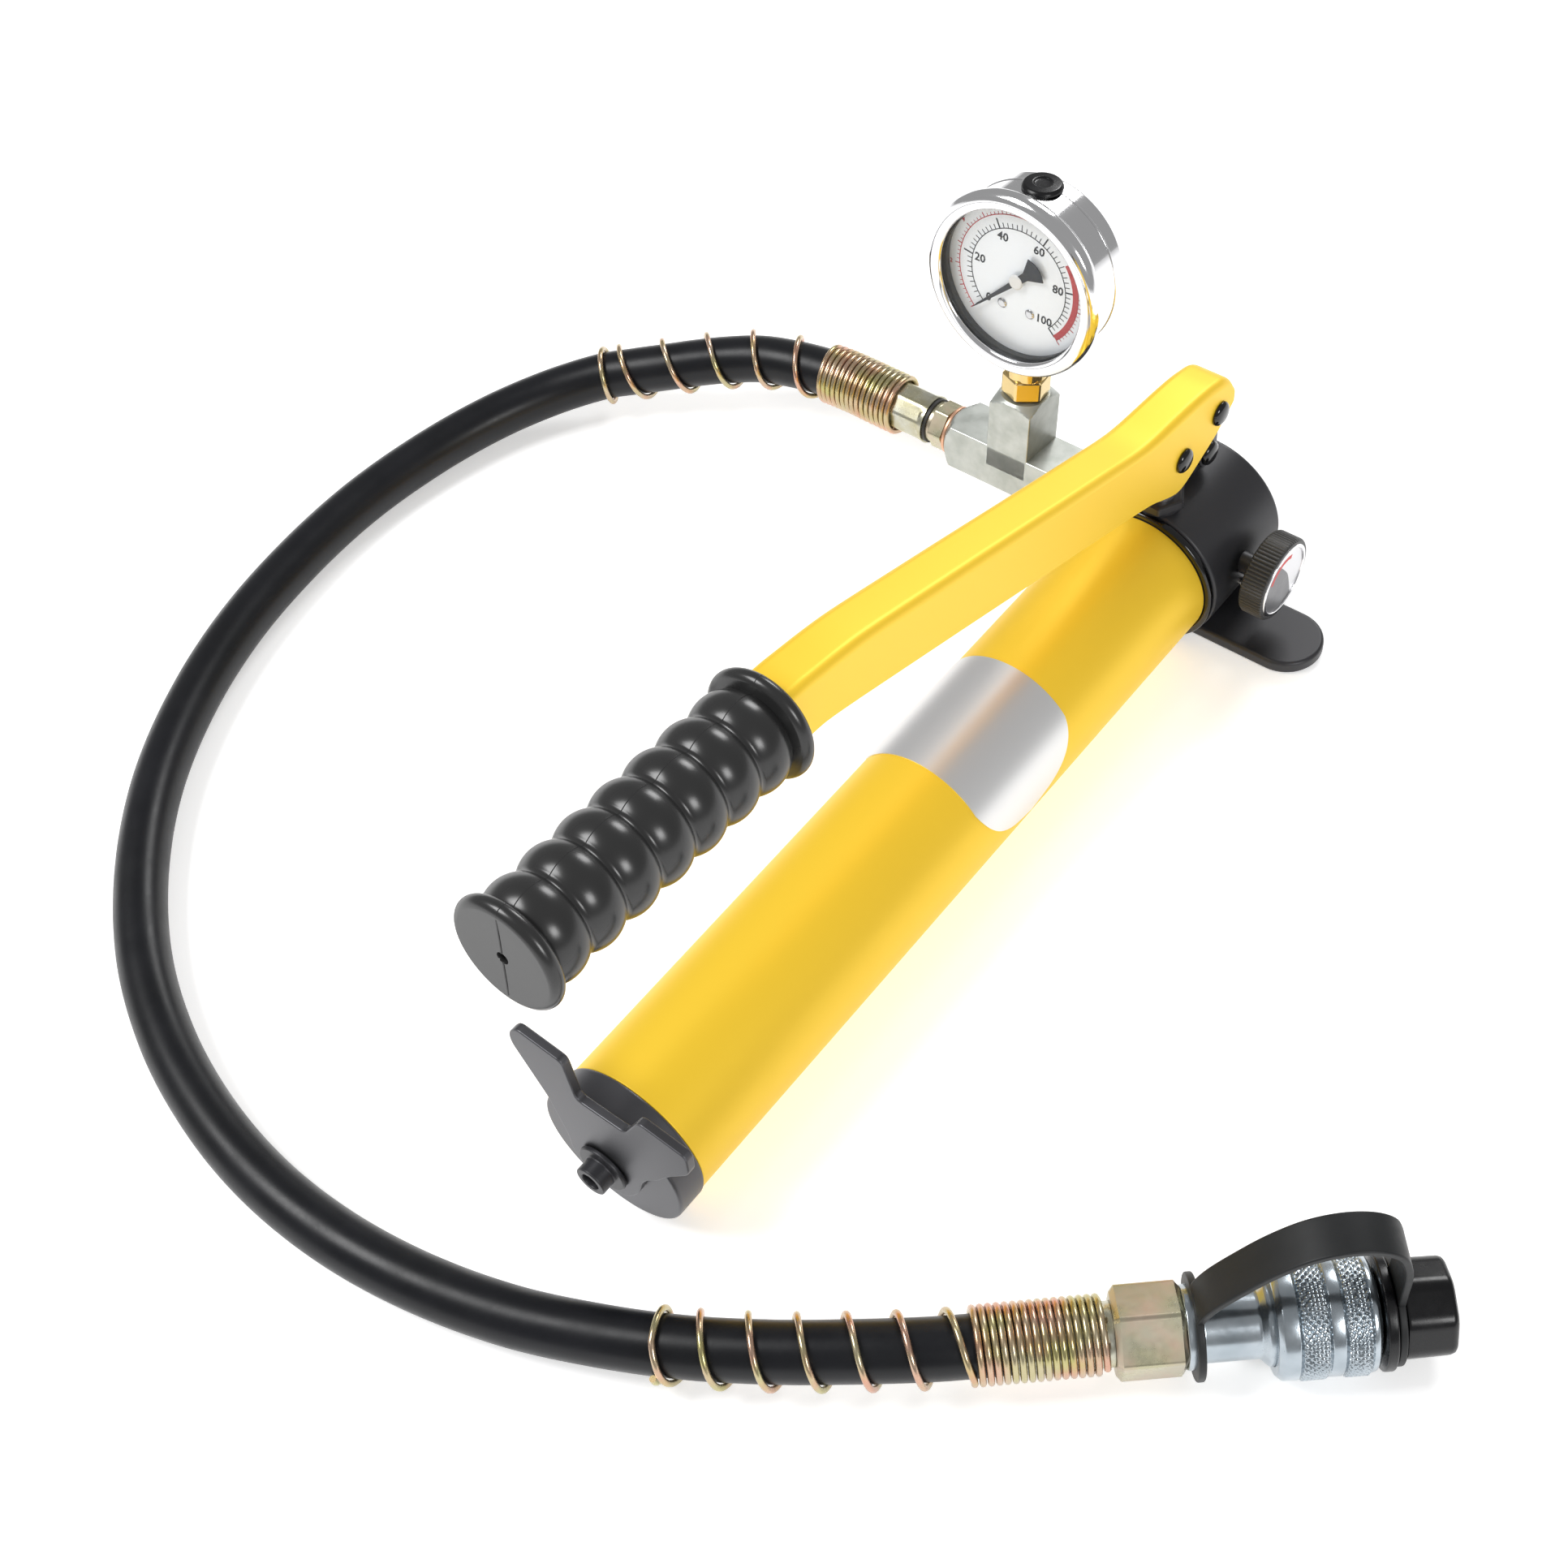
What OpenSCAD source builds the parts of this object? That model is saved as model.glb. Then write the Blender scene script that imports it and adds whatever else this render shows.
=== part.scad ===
// Hand-operated hydraulic pump with a pressure gauge, a hose and a quick coupler.
// Millimetres. +X runs from the tail of the reservoir to the pump head, +Z is up.
// The origin lies on the ground under the middle of the foot of the pump head.

/* [Reservoir] */
// Outer diameter of the reservoir tube
tube_d = 50; // [46:1:60]
// Length of the reservoir tube between the head and the tail cap
tube_l = 267; // [220:1:330]
// Wall of the reservoir tube
tube_wall = 2.5; // [2:0.5:3]
// Length of the tail cap that stands outside the tube
cap_l = 10.7; // [9:0.1:14]
// Depth of the spigots that plug the tube's two ends
spigot_l = 10; // [9:0.5:14]
// Diameter of the tie rod that pulls the head and the cap together
rod_d = 8; // [7:0.5:10]
// Length of the label along the tube
label_w = 49; // [30:1:60]

/* [Pump head] */
// Length of the head along the tube
head_l = 44.5; // [42:0.5:55]
// How much the head's radius is larger than the tube's
head_step = 2.8; // [2:0.1:5]
// Half length of the foot, from the middle plane to its rounded tip
foot_reach = 60; // [50:1:72]
// Width of the foot along the tube
foot_w = 26; // [22:1:32]
// Thickness of the foot
foot_t = 5; // [4:0.5:7]
// Diameter of the plunger
plunger_d = 12; // [10:0.5:13]

/* [Handle] */
// Outer width of the channel-section lever
lever_w = 16; // [15:0.5:20]
// Wall of the lever
lever_wall = 2; // [1.5:0.25:2.5]
// Diameter of the three handle pins
pin_d = 6; // [5:0.5:7]
// Length of the grip between its two flange faces
grip_l = 103; // [90:1:120]
// Largest radius of the grip's flanges
grip_flange_r = 17.6; // [16:0.1:19]
// Radius of the grip's bulges
grip_bulge_r = 15.6; // [15:0.1:17]
// Number of bulges
grip_bulges = 7; // [5:1:9]

/* [Release valve] */
// Diameter of the release knob
knob_d = 30; // [26:1:34]
// Thickness of the release knob
knob_t = 9; // [7:0.5:12]
// Diameter of the release stem
stem_d = 8; // [7:0.5:9]

/* [Gauge] */
// Diameter of the gauge bezel
bezel_d = 67; // [62:1:76]
// Depth of the gauge case behind the bezel's front
gauge_depth = 26; // [21:1:30]
// Height of the gauge centre above the port axis
gauge_h = 81; // [80:0.5:95]
// Angle by which the tee is turned back on its thread
gauge_lean = 6.5; // [0:0.1:12]
// Side of the square tee
tee_s = 17; // [16:0.5:24]
// Length of the tee's run
tee_l = 54; // [50:1:68]

/* [Hose] */
// Outer diameter of the hose
hose_d = 17.5; // [15:0.5:17.5]
// Diameter of the spring guards' wire
wire_d = 2; // [1.5:0.1:2]
// Diameter of the coupler's sleeve
sleeve_d = 33.5; // [32:0.5:36]
// Length of the coupler's sleeve
sleeve_l = 28.5; // [26:0.5:34]

/* [Hidden] */
$fn = 64;
eps = 0.01;
clear = 0.3;
run_fit = 0.05;
tube_r = tube_d / 2;
bore_r = tube_r - tube_wall;
cap_r = tube_r + 0.5;
axis_z = cap_r;
head_r = tube_r + head_step;
head_x0 = -19.5;
head_x1 = head_x0 + head_l;
tail_x = head_x0 - tube_l;
cap_x = tail_x - cap_l;
head_top = axis_z + head_r;
collar_l = 2.6;
seal_r = 1.4;
seal_x = spigot_l * 0.55;
seal_groove_r = bore_r - 2 * seal_r - run_fit;
seal_groove_w = 2 * seal_r + clear;

// tail
hook_t = 3;
hook_x = cap_x - hook_t;
hook_bore_r = rod_d / 2 + 2;
tie_nut_r = 5.2;
tie_nut_l = 7;
tie_nut_flange_r = hook_bore_r + 2.5;
tie_nut_flange_t = 1.5;
rod_in_head = 0.5;

// plunger, pins and lever
plunger_x = -10.6;
pin_r = pin_d / 2;
pin_head_r = pin_r + 1.3;
pin_head_t = 2;
lever_pin_z = head_top + 22.2;
link_top_x = 11;
link_top_z = lever_pin_z + 4;
link_low_x = 10.5;
link_low_z = head_top + 7.7;
link_t = 2.3;
link_gap = 6.6;
link_r = 5.2;
lug_t = link_gap - 2 * clear;
lug_r = 4.8;
open_pivot_clear = 0.95;
open_pivot_shift = 0.15;
eye_t = 8;
eye_r = pin_r + 3.4;
eye_l = 14;
gland_r = 9.4;
gland_h = 4;
gland_in_r = 7.6;
gland_sink = 8;
plunger_low = head_top - 36;
suction_z = plunger_low - 1.2;
suction_r = 3.2;
seat_r = 2.2;
inlet_ball_r = 2.6;
seal_h = 5;
lever_half = lever_w / 2;

// grip: its axis rises towards the tail
grip_x = -211;
grip_z = lever_pin_z + 61.5;
grip_tilt = 5.5;
flange_t = 5;
tang_w = lever_w - 3;
tang_h = 17;
tang_l = grip_l - 6;

// ports and release valve
port_x = 1;
port_z = axis_z + 3;
seat_x = plunger_x + plunger_d / 2 + 1.4;
check_r = 3.4;
outlet_seat_r = 1.6;
outlet_ball_r = 2.4;
outlet_ball_x = seat_x + sqrt(outlet_ball_r * outlet_ball_r - outlet_seat_r * outlet_seat_r);
check_plug_x = head_x1 - 17;
knob_x = 1.5;
knob_z = axis_z + 3.5;
knob_face_y = -head_r - 15.2;
knob_rim = 1.6;
stem_bore_r = stem_d / 2 + run_fit;
stem_in = 18;
valve_seat_r = 1.2;
valve_ball_r = 1.5;
valve_ball_y = -head_r + stem_in - sqrt(valve_ball_r * valve_ball_r - valve_seat_r * valve_seat_r);
pin_stop_z = knob_z - 9.5;

// gauge, in the frame of the port: x back, y along the tee, z up
bezel_r = bezel_d / 2;
case_r = bezel_r - 3.3;
bezel_t = 8;
case_lap = 3;
gauge_front = -16.6;
case_wall = 0.8;
dial_x = gauge_front + 6.2;
dial_r = case_r - case_wall;
glass_x = gauge_front + 1.6;
glass_t = 2;
stack_y = head_r + 9.2 + tee_l / 2;
tee_depth = tee_s + 2;
tee_top = 30;
tee_bore_r = 3;
socket_r = 6;
socket_hex_r = 8.1;
fill_plug_r = 7;
nipple_r = 6;
nipple_hex_r = 8.4;
pointer_r = 23;
movement_reach = case_r - 10;

// hose fittings, along y from the tee
tee_end_y = stack_y + tee_l / 2;
adaptor_l = 10.5;
ferrule_y = tee_end_y + adaptor_l;
ferrule_l = 24.5;
ferrule_r = 9;
hose_y0 = ferrule_y + ferrule_l;
hose_r = hose_d / 2;
guard_r = 10.15;
guard_steps = 14;
guard_sides = 6;
guard_pitch = 2.25;

// coupler, along its own axis from the start of the close turns
coupler_x = -281;
coupler_y = -114;
coupler_dir = -48.6;
sleeve_r = sleeve_d / 2;
ferrule2_s = 12;
nut_s = 38.5;
nut_l = 19.2;
nut_r = 13.6;
neck_l = 23.3;
neck_r = 10;
sleeve_s = nut_s + nut_l + neck_l;
socket_s = sleeve_s + sleeve_l;
body_r = sleeve_r - 4.5;
ball_r = 2;
ball_count = 8;
dust_l = 20;
dust_r = 14.5;
dust_flange_r = sleeve_r - 0.5;
dust_flange_t = 3;
strap_t = 2.2;
strap_w = 12;
strap_ring_s = nut_s + nut_l + 2;

// Middle line of the free hose, from the first ferrule to the second.
hose_route = [
  [port_x, hose_y0, port_z], [port_x, 137, port_z], [0.3, 149, 28.3], [-2.3, 163, 27.7],
  [-6, 176, 26.7], [-11.6, 187.5, 25], [-18.2, 198, 23.3], [-25.2, 208.3, 21.3], [-32, 219, 19],
  [-40, 230, 16.7], [-56, 243.5, 13.5], [-77.6, 255, 11], [-105, 263, 9.5], [-137, 266.8, 9],
  [-171, 265.2, 9], [-206, 259, 9], [-240, 247.2, 9], [-272, 230, 9], [-300, 207.4, 9],
  [-324, 180, 9], [-341.3, 150, 9], [-352.5, 119, 9], [-358.3, 89, 9], [-359.2, 59, 9],
  [-355.6, 29.5, 9], [-348, 0, 9.5], [-338, -25.5, 11], [-326.8, -48.8, 13], [-314.6, -69.5, 15],
  [-302.5, -87.1, 16.3], [coupler_x - 6.6, coupler_y + 7.5, sleeve_r],
  [coupler_x + ferrule2_s * cos(coupler_dir), coupler_y + ferrule2_s * sin(coupler_dir), sleeve_r]
];

// ---- helpers ----
module x_rod(x0, x1, r, y = 0, z = axis_z)
  translate([x0, y, z]) rotate([0, 90, 0]) cylinder(h = x1 - x0, r = r);

module y_rod(y0, y1, r, x, z)
  translate([x, y0, z]) rotate([-90, 0, 0]) cylinder(h = y1 - y0, r = r);

module z_rod(z0, z1, r, x = 0, y = 0)
  translate([x, y, z0]) cylinder(h = z1 - z0, r = r);

module x_ring(x0, x1, r_out, r_in)
  difference() {
    x_rod(x0, x1, r_out);
    x_rod(x0 - 1, x1 + 1, r_in);
  }

// A seal ring of round section on the tube's axis.
module seal_ring(x, r)
  translate([x, 0, axis_z]) rotate([0, 90, 0]) rotate_extrude() translate([r, 0]) circle(r = seal_r);

module on_port() translate([port_x, 0, port_z]) rotate([0, gauge_lean, 0]) children();

module on_gauge() on_port() translate([0, stack_y, gauge_h]) rotate([0, 90, 0]) children();

module on_coupler()
  translate([coupler_x, coupler_y, sleeve_r]) rotate([0, 0, coupler_dir]) rotate([0, 90, 0])
    children();

module on_grip() translate([grip_x, 0, grip_z]) rotate([0, -90 + grip_tilt, 0]) children();

// Side outline drawn in x and z, given a thickness along y.
module plate_xz(y0, y1)
  translate([0, y1, 0]) rotate([90, 0, 0]) linear_extrude(height = y1 - y0) children();

// ---- reservoir ----
module reservoir_tube() color("gold") x_ring(tail_x, head_x0, tube_r, bore_r);

module label() {
  label_x = tail_x + tube_l * 0.618;
  low_z = axis_z + tube_r * 0.84;
  color("gainsboro")
    intersection() {
      x_ring(label_x - label_w / 2, label_x + label_w / 2, tube_r + 0.3, tube_r);
      plate_xz(-tube_d, tube_d) {
        translate([label_x, low_z]) circle(r = label_w / 2 + 0.9);
        translate([label_x - label_w / 2, low_z]) square([label_w, tube_d]);
      }
    }
}

module tail_cap()
  color("dimgray")
    difference() {
      union() {
        x_rod(cap_x, tail_x, cap_r);
        x_rod(tail_x - eps, tail_x + spigot_l, bore_r - clear / 2);
      }
      x_rod(cap_x - 1, tail_x + spigot_l + 1, rod_d / 2 + run_fit);
      translate([tail_x + seal_x, 0, axis_z]) rotate([0, 90, 0]) rotate_extrude()
        translate([seal_groove_r, -seal_groove_w / 2]) square([4 * seal_r, seal_groove_w]);
      x_ring(tail_x + spigot_l - 6, tail_x + spigot_l + 1, bore_r - 6, rod_d / 2 + 4);
    }

module tail_seal() color("black") seal_ring(tail_x + seal_x, bore_r - seal_r);

module tie_rod() color("silver") x_rod(hook_x - tie_nut_flange_t, head_x0 + rod_in_head, rod_d / 2);

// Sleeve nut: its boss carries the hook, its flange keeps the hook on.
module tie_nut()
  color("black")
    difference() {
      union() {
        x_rod(cap_x - hook_t - 2 * clear, cap_x, hook_bore_r - run_fit);
        x_rod(hook_x - 2 * clear - tie_nut_flange_t, hook_x - 2 * clear, tie_nut_flange_r);
        x_rod(hook_x - tie_nut_l, hook_x - tie_nut_flange_t, tie_nut_r);
      }
      x_rod(hook_x - tie_nut_flange_t, cap_x + 1, rod_d / 2);
      x_rod(hook_x - tie_nut_l - 1, hook_x - tie_nut_l + 4, 3);
    }

// Flat hook with a saddle between two horns and a scooped lower edge, in y and z.
module tail_hook()
  color("dimgray")
    translate([cap_x - clear, 0, axis_z]) rotate([90, 0, -90]) linear_extrude(height = hook_t)
      difference() {
        union() {
          polygon([[-24, 51], [-27.5, 46], [-27.5, 41], [-18, 21], [-11.5, -8], [12, -6], [22, 18.5],
            [34.5, 30], [36, 33], [36, 41], [19, 43], [12.5, 31], [-5, 31.5], [-7, 49]]);
          circle(r = 13.5);
        }
        translate([21, 3.5]) circle(r = 11);
        circle(r = hook_bore_r);
      }

// ---- pump head ----
module foot_outline() {
  translate([-foot_w / 2, -foot_reach + foot_w / 2]) square([foot_w, 2 * foot_reach - foot_w]);
  translate([0, -foot_reach + foot_w / 2]) circle(d = foot_w);
  translate([0, foot_reach - foot_w / 2]) circle(d = foot_w);
}

module link_lug()
  plate_xz(-lug_t / 2, lug_t / 2) {
    translate([link_low_x, link_low_z]) circle(r = lug_r);
    translate([link_low_x - lug_r, head_top - 8]) square([2 * lug_r, link_low_z - head_top + 8]);
  }

module pump_head()
  color("darkslategray")
    difference() {
      union() {
        intersection() {
          x_rod(head_x0 + collar_l, head_x1, head_r);
          translate([head_x0, -head_r, 0]) cube([head_l, 2 * head_r, 4 * head_r]);
        }
        x_rod(head_x0, head_x0 + collar_l + eps, tube_r);
        x_rod(head_x0 - spigot_l, head_x0 + eps, bore_r - clear / 2);
        linear_extrude(height = foot_t) foot_outline();
        link_lug();
      }
      // tie rod, plunger, gland and packing
      x_rod(head_x0 - spigot_l - 1, head_x0 + rod_in_head, rod_d / 2);
      z_rod(plunger_low - 3, head_top + 2, plunger_d / 2 + run_fit, plunger_x);
      z_rod(head_top - gland_sink - seal_h, head_top + 2, gland_in_r, plunger_x);
      // delivery gallery with the check valve, and the outlet port
      x_rod(plunger_x, seat_x + eps, outlet_seat_r, 0, port_z);
      x_rod(seat_x, head_x1 + 1, check_r, 0, port_z);
      y_rod(0, head_r + 1, 3, port_x, port_z);
      y_rod(head_r - 11, head_r + 1, nipple_r, port_x, port_z);
      // suction drilling with the inlet ball's pocket
      x_rod(head_x0 - spigot_l - 1, plunger_x, 2, 0, suction_z);
      x_rod(head_x0 - spigot_l - 1, head_x0 - 2, suction_r, 0, suction_z);
      // release valve, its return to the tank, and the stop pin
      y_rod(-head_r - 1, -head_r + stem_in, stem_bore_r, knob_x, knob_z);
      y_rod(-head_r + stem_in - eps, 0, valve_seat_r, knob_x, knob_z);
      x_rod(head_x0 - spigot_l - 1, knob_x, 1.5, -head_r + 10.8, knob_z);
      y_rod(-head_r - 1, -head_r + 8, 1.5, knob_x, pin_stop_z);
      // link foot pin, and the groove of the tank seal
      y_rod(-lug_t, lug_t, pin_r, link_low_x, link_low_z);
      translate([head_x0 - seal_x, 0, axis_z]) rotate([0, 90, 0]) rotate_extrude()
        translate([seal_groove_r, -seal_groove_w / 2]) square([4 * seal_r, seal_groove_w]);
    }

module head_collar()
  color("black")
    difference() {
      x_ring(head_x0, head_x0 + collar_l, head_r - 0.4, tube_r);
      z_rod(axis_z, 2 * head_top, gland_in_r, plunger_x);
      translate([head_x0 - 1, -head_r, clear - head_r]) cube([collar_l + 2, 2 * head_r, head_r]);
    }

module head_seal() color("black") seal_ring(head_x0 - seal_x, bore_r - seal_r);

module suction_strainer()
  color("lightgray")
    difference() {
      x_rod(head_x0 - spigot_l - 16, head_x0 - 6, suction_r, 0, suction_z);
      x_rod(head_x0 - spigot_l - 15, head_x0 - 5, seat_r, 0, suction_z);
    }

module inlet_ball()
  color("silver")
    translate([head_x0 - 6 + sqrt(inlet_ball_r * inlet_ball_r - seat_r * seat_r), 0, suction_z])
      sphere(r = inlet_ball_r);

module outlet_ball() color("silver") translate([outlet_ball_x, 0, port_z]) sphere(r = outlet_ball_r);

module outlet_spring() {
  coil_r = 2;
  coil_wire_r = 0.4;
  turns = 5;
  free_l = 2 * coil_wire_r + clear / 2;
  start_x = outlet_ball_x + sqrt(outlet_ball_r * outlet_ball_r - coil_r * coil_r) + 0.7;
  color("silver")
    translate([start_x, 0, port_z]) rotate([0, 90, 0])
      coil(coil_r, coil_wire_r, (check_plug_x - start_x - free_l) / turns, turns);
}

module outlet_plug() color("black") x_rod(check_plug_x, head_x1 - 0.5, check_r, 0, port_z);

module gland_nut()
  color("black")
    difference() {
      union() {
        z_rod(head_top - gland_sink, head_top + 0.6, gland_in_r, plunger_x);
        translate([plunger_x, 0, head_top + 0.6]) rotate([0, 0, 30])
          cylinder(h = gland_h, r = gland_r, $fn = 6);
      }
      z_rod(0, 2 * head_top, plunger_d / 2 + run_fit, plunger_x);
    }

module plunger_seal()
  color("ivory")
    difference() {
      z_rod(head_top - gland_sink - seal_h, head_top - gland_sink, gland_in_r, plunger_x);
      z_rod(0, 2 * head_top, plunger_d / 2 + run_fit, plunger_x);
    }

// ---- handle linkage ----
module plunger()
  color("silver")
    difference() {
      union() {
        z_rod(plunger_low, lever_pin_z - eye_l, plunger_d / 2, plunger_x);
        intersection() {
          z_rod(lever_pin_z - eye_l - eps, lever_pin_z + eye_r, eye_r, plunger_x);
          plate_xz(-eye_t / 2, eye_t / 2) {
            translate([plunger_x, lever_pin_z]) circle(r = eye_r);
            translate([plunger_x - eye_r, lever_pin_z - eye_l - eps]) square([2 * eye_r, eye_l + eps]);
          }
        }
      }
      y_rod(-eye_t, eye_t, pin_r + run_fit, plunger_x, lever_pin_z);
    }

module link_outline() {
  reach = [link_top_x - link_low_x, link_top_z - link_low_z];
  translate([link_low_x, link_low_z]) rotate(atan2(reach[1], reach[0])) {
    circle(r = link_r);
    translate([norm(reach), 0]) circle(r = link_r);
    translate([0, -link_r]) square([norm(reach), 2 * link_r]);
  }
}

module link_plates()
  color("dimgray")
    for (side = [-1, 1])
      difference() {
        translate([0, side * (link_gap + link_t) / 2, 0]) plate_xz(-link_t / 2, link_t / 2) link_outline();
        y_rod(-lever_w, lever_w, pin_r + run_fit, link_low_x, link_low_z);
        y_rod(-lever_w, lever_w, pin_r, link_top_x, link_top_z);
      }

// A rivet-like pin with a head at both ends, clear of a stack of the given half width.
module headed_pin(x, z, half) {
  y_rod(-half - clear - eps, half + clear + eps, pin_r, x, z);
  y_rod(-half - clear - pin_head_t, -half - clear, pin_head_r, x, z);
  y_rod(half + clear, half + clear + pin_head_t, pin_head_r, x, z);
}

module link_foot_pin() color("black") headed_pin(link_low_x, link_low_z, link_gap / 2 + link_t);

module link_top_pin() color("black") headed_pin(link_top_x, link_top_z, lever_half);

module plunger_pin() color("black") headed_pin(plunger_x, lever_pin_z, lever_half);

// Side outline of the lever, with heights from the plunger pin: deep nose over the pins, rising
// arm, bent down a little at the grip.
module lever_outline()
  translate([0, lever_pin_z])
    polygon([[19.5, 2], [12.5, -4.2], [-7, -12.5], [-12, -13.3], [-16.5, -11.5], [-31, -4.5], [-196, 51],
      [-211.6, 52], [-209.5, 73.5], [-197, 72], [-170, 66], [-31, 22], [-5, 19.5], [10, 16.8],
      [17, 14.5], [20.5, 10.5], [21, 5.5]]);

module lever()
  color("gold")
    difference() {
      union() {
        difference() {
          plate_xz(-lever_half, lever_half) lever_outline();
          translate([0, 0, -lever_wall]) plate_xz(-lever_half + lever_wall, lever_half - lever_wall) {
            lever_outline();
            translate([0, -8]) lever_outline();
          }
        }
        on_grip() translate([-tang_h / 2, -tang_w / 2, -8]) cube([tang_h, tang_w, tang_l + 8]);
      }
      y_rod(-lever_w, lever_w, pin_r, plunger_x, lever_pin_z);
      y_rod(-lever_w, lever_w, pin_r + open_pivot_clear, link_top_x + open_pivot_shift, link_top_z);
      on_grip() translate([-tang_h / 2 + lever_wall, -tang_w / 2 + lever_wall, -9])
        cube([tang_h - 2 * lever_wall, tang_w - 2 * lever_wall, tang_l - lever_wall]);
    }

// Turned half outline of the grip: two flanges with bulges between them.
module grip_half() {
  pitch = (grip_l - 2 * flange_t) / grip_bulges;
  core_r = grip_bulge_r - 2.4;
  square([core_r, grip_l]);
  for (z = [flange_t / 2, grip_l - flange_t / 2]) {
    translate([grip_flange_r - flange_t / 2, z]) circle(d = flange_t);
    translate([0, z - flange_t / 2]) square([grip_flange_r - flange_t / 2, flange_t]);
  }
  for (i = [0:grip_bulges - 1])
    translate([grip_bulge_r - pitch * 0.56, flange_t + pitch * (i + 0.5)]) circle(r = pitch * 0.56);
}

module grip()
  color("black")
    on_grip()
      difference() {
        rotate_extrude() grip_half();
        translate([-tang_h / 2, -tang_w / 2, -1]) cube([tang_h, tang_w, tang_l + 1]);
        cylinder(h = grip_l + 1, r = 1.8);
      }

// ---- release valve ----
module release_stem()
  color("dimgray")
    y_rod(knob_face_y + 1, valve_ball_y - valve_ball_r, stem_d / 2, knob_x, knob_z);

module release_ball() color("silver") translate([knob_x, valve_ball_y, knob_z]) sphere(r = valve_ball_r);

module release_knob()
  color("black")
    difference() {
      y_rod(knob_face_y, knob_face_y + knob_t, knob_d / 2, knob_x, knob_z);
      y_rod(knob_face_y - 1, knob_face_y + 1, knob_d / 2 - knob_rim, knob_x, knob_z);
      y_rod(knob_face_y, knob_face_y + knob_t + 1, stem_d / 2, knob_x, knob_z);
      for (a = [0:6:359])
        translate([knob_x, 0, knob_z]) rotate([0, a, 0])
          y_rod(knob_face_y - 1, knob_face_y + knob_t + 1, 0.45, knob_d / 2 + 0.05, 0);
    }

module knob_ring()
  color("silver")
    difference() {
      y_rod(knob_face_y - 0.4, knob_face_y + 1, knob_d / 2 - knob_rim, knob_x, knob_z);
      y_rod(knob_face_y - 1, knob_face_y + 2, knob_d / 2 - knob_rim - 1.4, knob_x, knob_z);
    }

module knob_disc()
  color("lightgray") y_rod(knob_face_y + 0.2, knob_face_y + 1, knob_d / 2 - knob_rim - 1.4, knob_x, knob_z);

module stop_pin() color("silver") y_rod(-head_r - 4.5, -head_r + 8, 1.5, knob_x, pin_stop_z);

// ---- tee and gauge, in the port's frame ----
module outlet_nipple()
  color("silver")
    on_port() rotate([-90, 0, 0])
      difference() {
        union() {
          translate([0, 0, head_r - 11]) cylinder(h = stack_y - tee_l / 2 - head_r + 22, r = nipple_r);
          translate([0, 0, head_r + 0.6])
            cylinder(h = stack_y - tee_l / 2 - head_r - 0.6, r = nipple_hex_r, $fn = 6);
        }
        cylinder(h = stack_y, r = 2.5);
      }

module tee()
  color("silver")
    on_port() translate([0, stack_y, 0])
      difference() {
        union() {
          intersection() {
            translate([-tee_depth / 2, -tee_l / 2, -tee_s / 2]) cube([tee_depth, tee_l, tee_s]);
            rotate([-90, 0, 0]) tee_barrel(tee_l / 2);
            rotate([90, 0, 0]) tee_barrel(tee_l / 2);
          }
          intersection() {
            translate([-tee_depth / 2, -tee_s / 2, 0]) cube([tee_depth, tee_s, tee_top]);
            tee_barrel(tee_top);
          }
        }
        rotate([90, 0, 0]) cylinder(h = tee_l + 2, r = tee_bore_r, center = true);
        cylinder(h = tee_top + 1, r = tee_bore_r);
        rotate([90, 0, 0]) translate([0, 0, tee_l / 2 - 11]) cylinder(h = 12, r = nipple_r);
        rotate([-90, 0, 0]) translate([0, 0, tee_l / 2 - 9]) cylinder(h = 10, r = nipple_r);
        translate([0, 0, tee_top - 10]) cylinder(h = 11, r = socket_r);
      }

// A barrel with a turned chamfer at its far end, which rounds the square arm's corners.
module tee_barrel(reach) {
  big_r = tee_s * 0.75;
  small_r = tee_s * 0.53;
  translate([0, 0, -tee_l]) cylinder(h = tee_l + reach - 2.6, r = big_r);
  translate([0, 0, reach - 2.6]) cylinder(h = 2.6, r1 = big_r, r2 = small_r);
}

module gauge_socket()
  color("goldenrod")
    on_port() translate([0, stack_y, 0]) {
      translate([0, 0, tee_top - 10]) cylinder(h = 11, r = socket_r);
      translate([0, 0, tee_top + 0.5]) cylinder(h = 6.5, r = socket_hex_r, $fn = 6);
      translate([0, 0, tee_top + 6.5]) cylinder(h = gauge_h - movement_reach - tee_top - 6.5, r = 5.5);
    }

module gauge_case()
  color("lightgray")
    difference() {
      on_gauge() union() {
        translate([0, 0, gauge_front + bezel_t - case_lap])
          cylinder(h = gauge_depth - bezel_t + case_lap - 2, r = case_r);
        translate([0, 0, gauge_front + gauge_depth - 2]) cylinder(h = 2, r1 = case_r, r2 = case_r - 2);
      }
      on_gauge() translate([0, 0, gauge_front])
        cylinder(h = gauge_depth - 2, r = case_r - case_wall);
      on_port() translate([0, stack_y, 0]) cylinder(h = gauge_h, r = 5.5);
      on_port() translate([0, stack_y, gauge_h]) cylinder(h = bezel_d, r = fill_plug_r - 1.5);
    }

module gauge_bezel()
  color("lightgray")
    on_gauge() rotate_extrude()
      translate([0, gauge_front])
        difference() {
          union() {
            translate([case_r - 2.6, 3]) square([5.9, bezel_t - 3]);
            translate([case_r + 0.3, 3]) circle(r = 3);
          }
          translate([case_r - 2.7, glass_x - gauge_front]) square([2, bezel_t]);
          translate([case_r - 0.8, glass_x - gauge_front + glass_t]) square([0.8, bezel_t]);
        }

module gauge_glass()
  color("lightblue", 0.4) on_gauge() translate([0, 0, glass_x]) cylinder(h = glass_t, r = case_r - 0.7);

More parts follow.
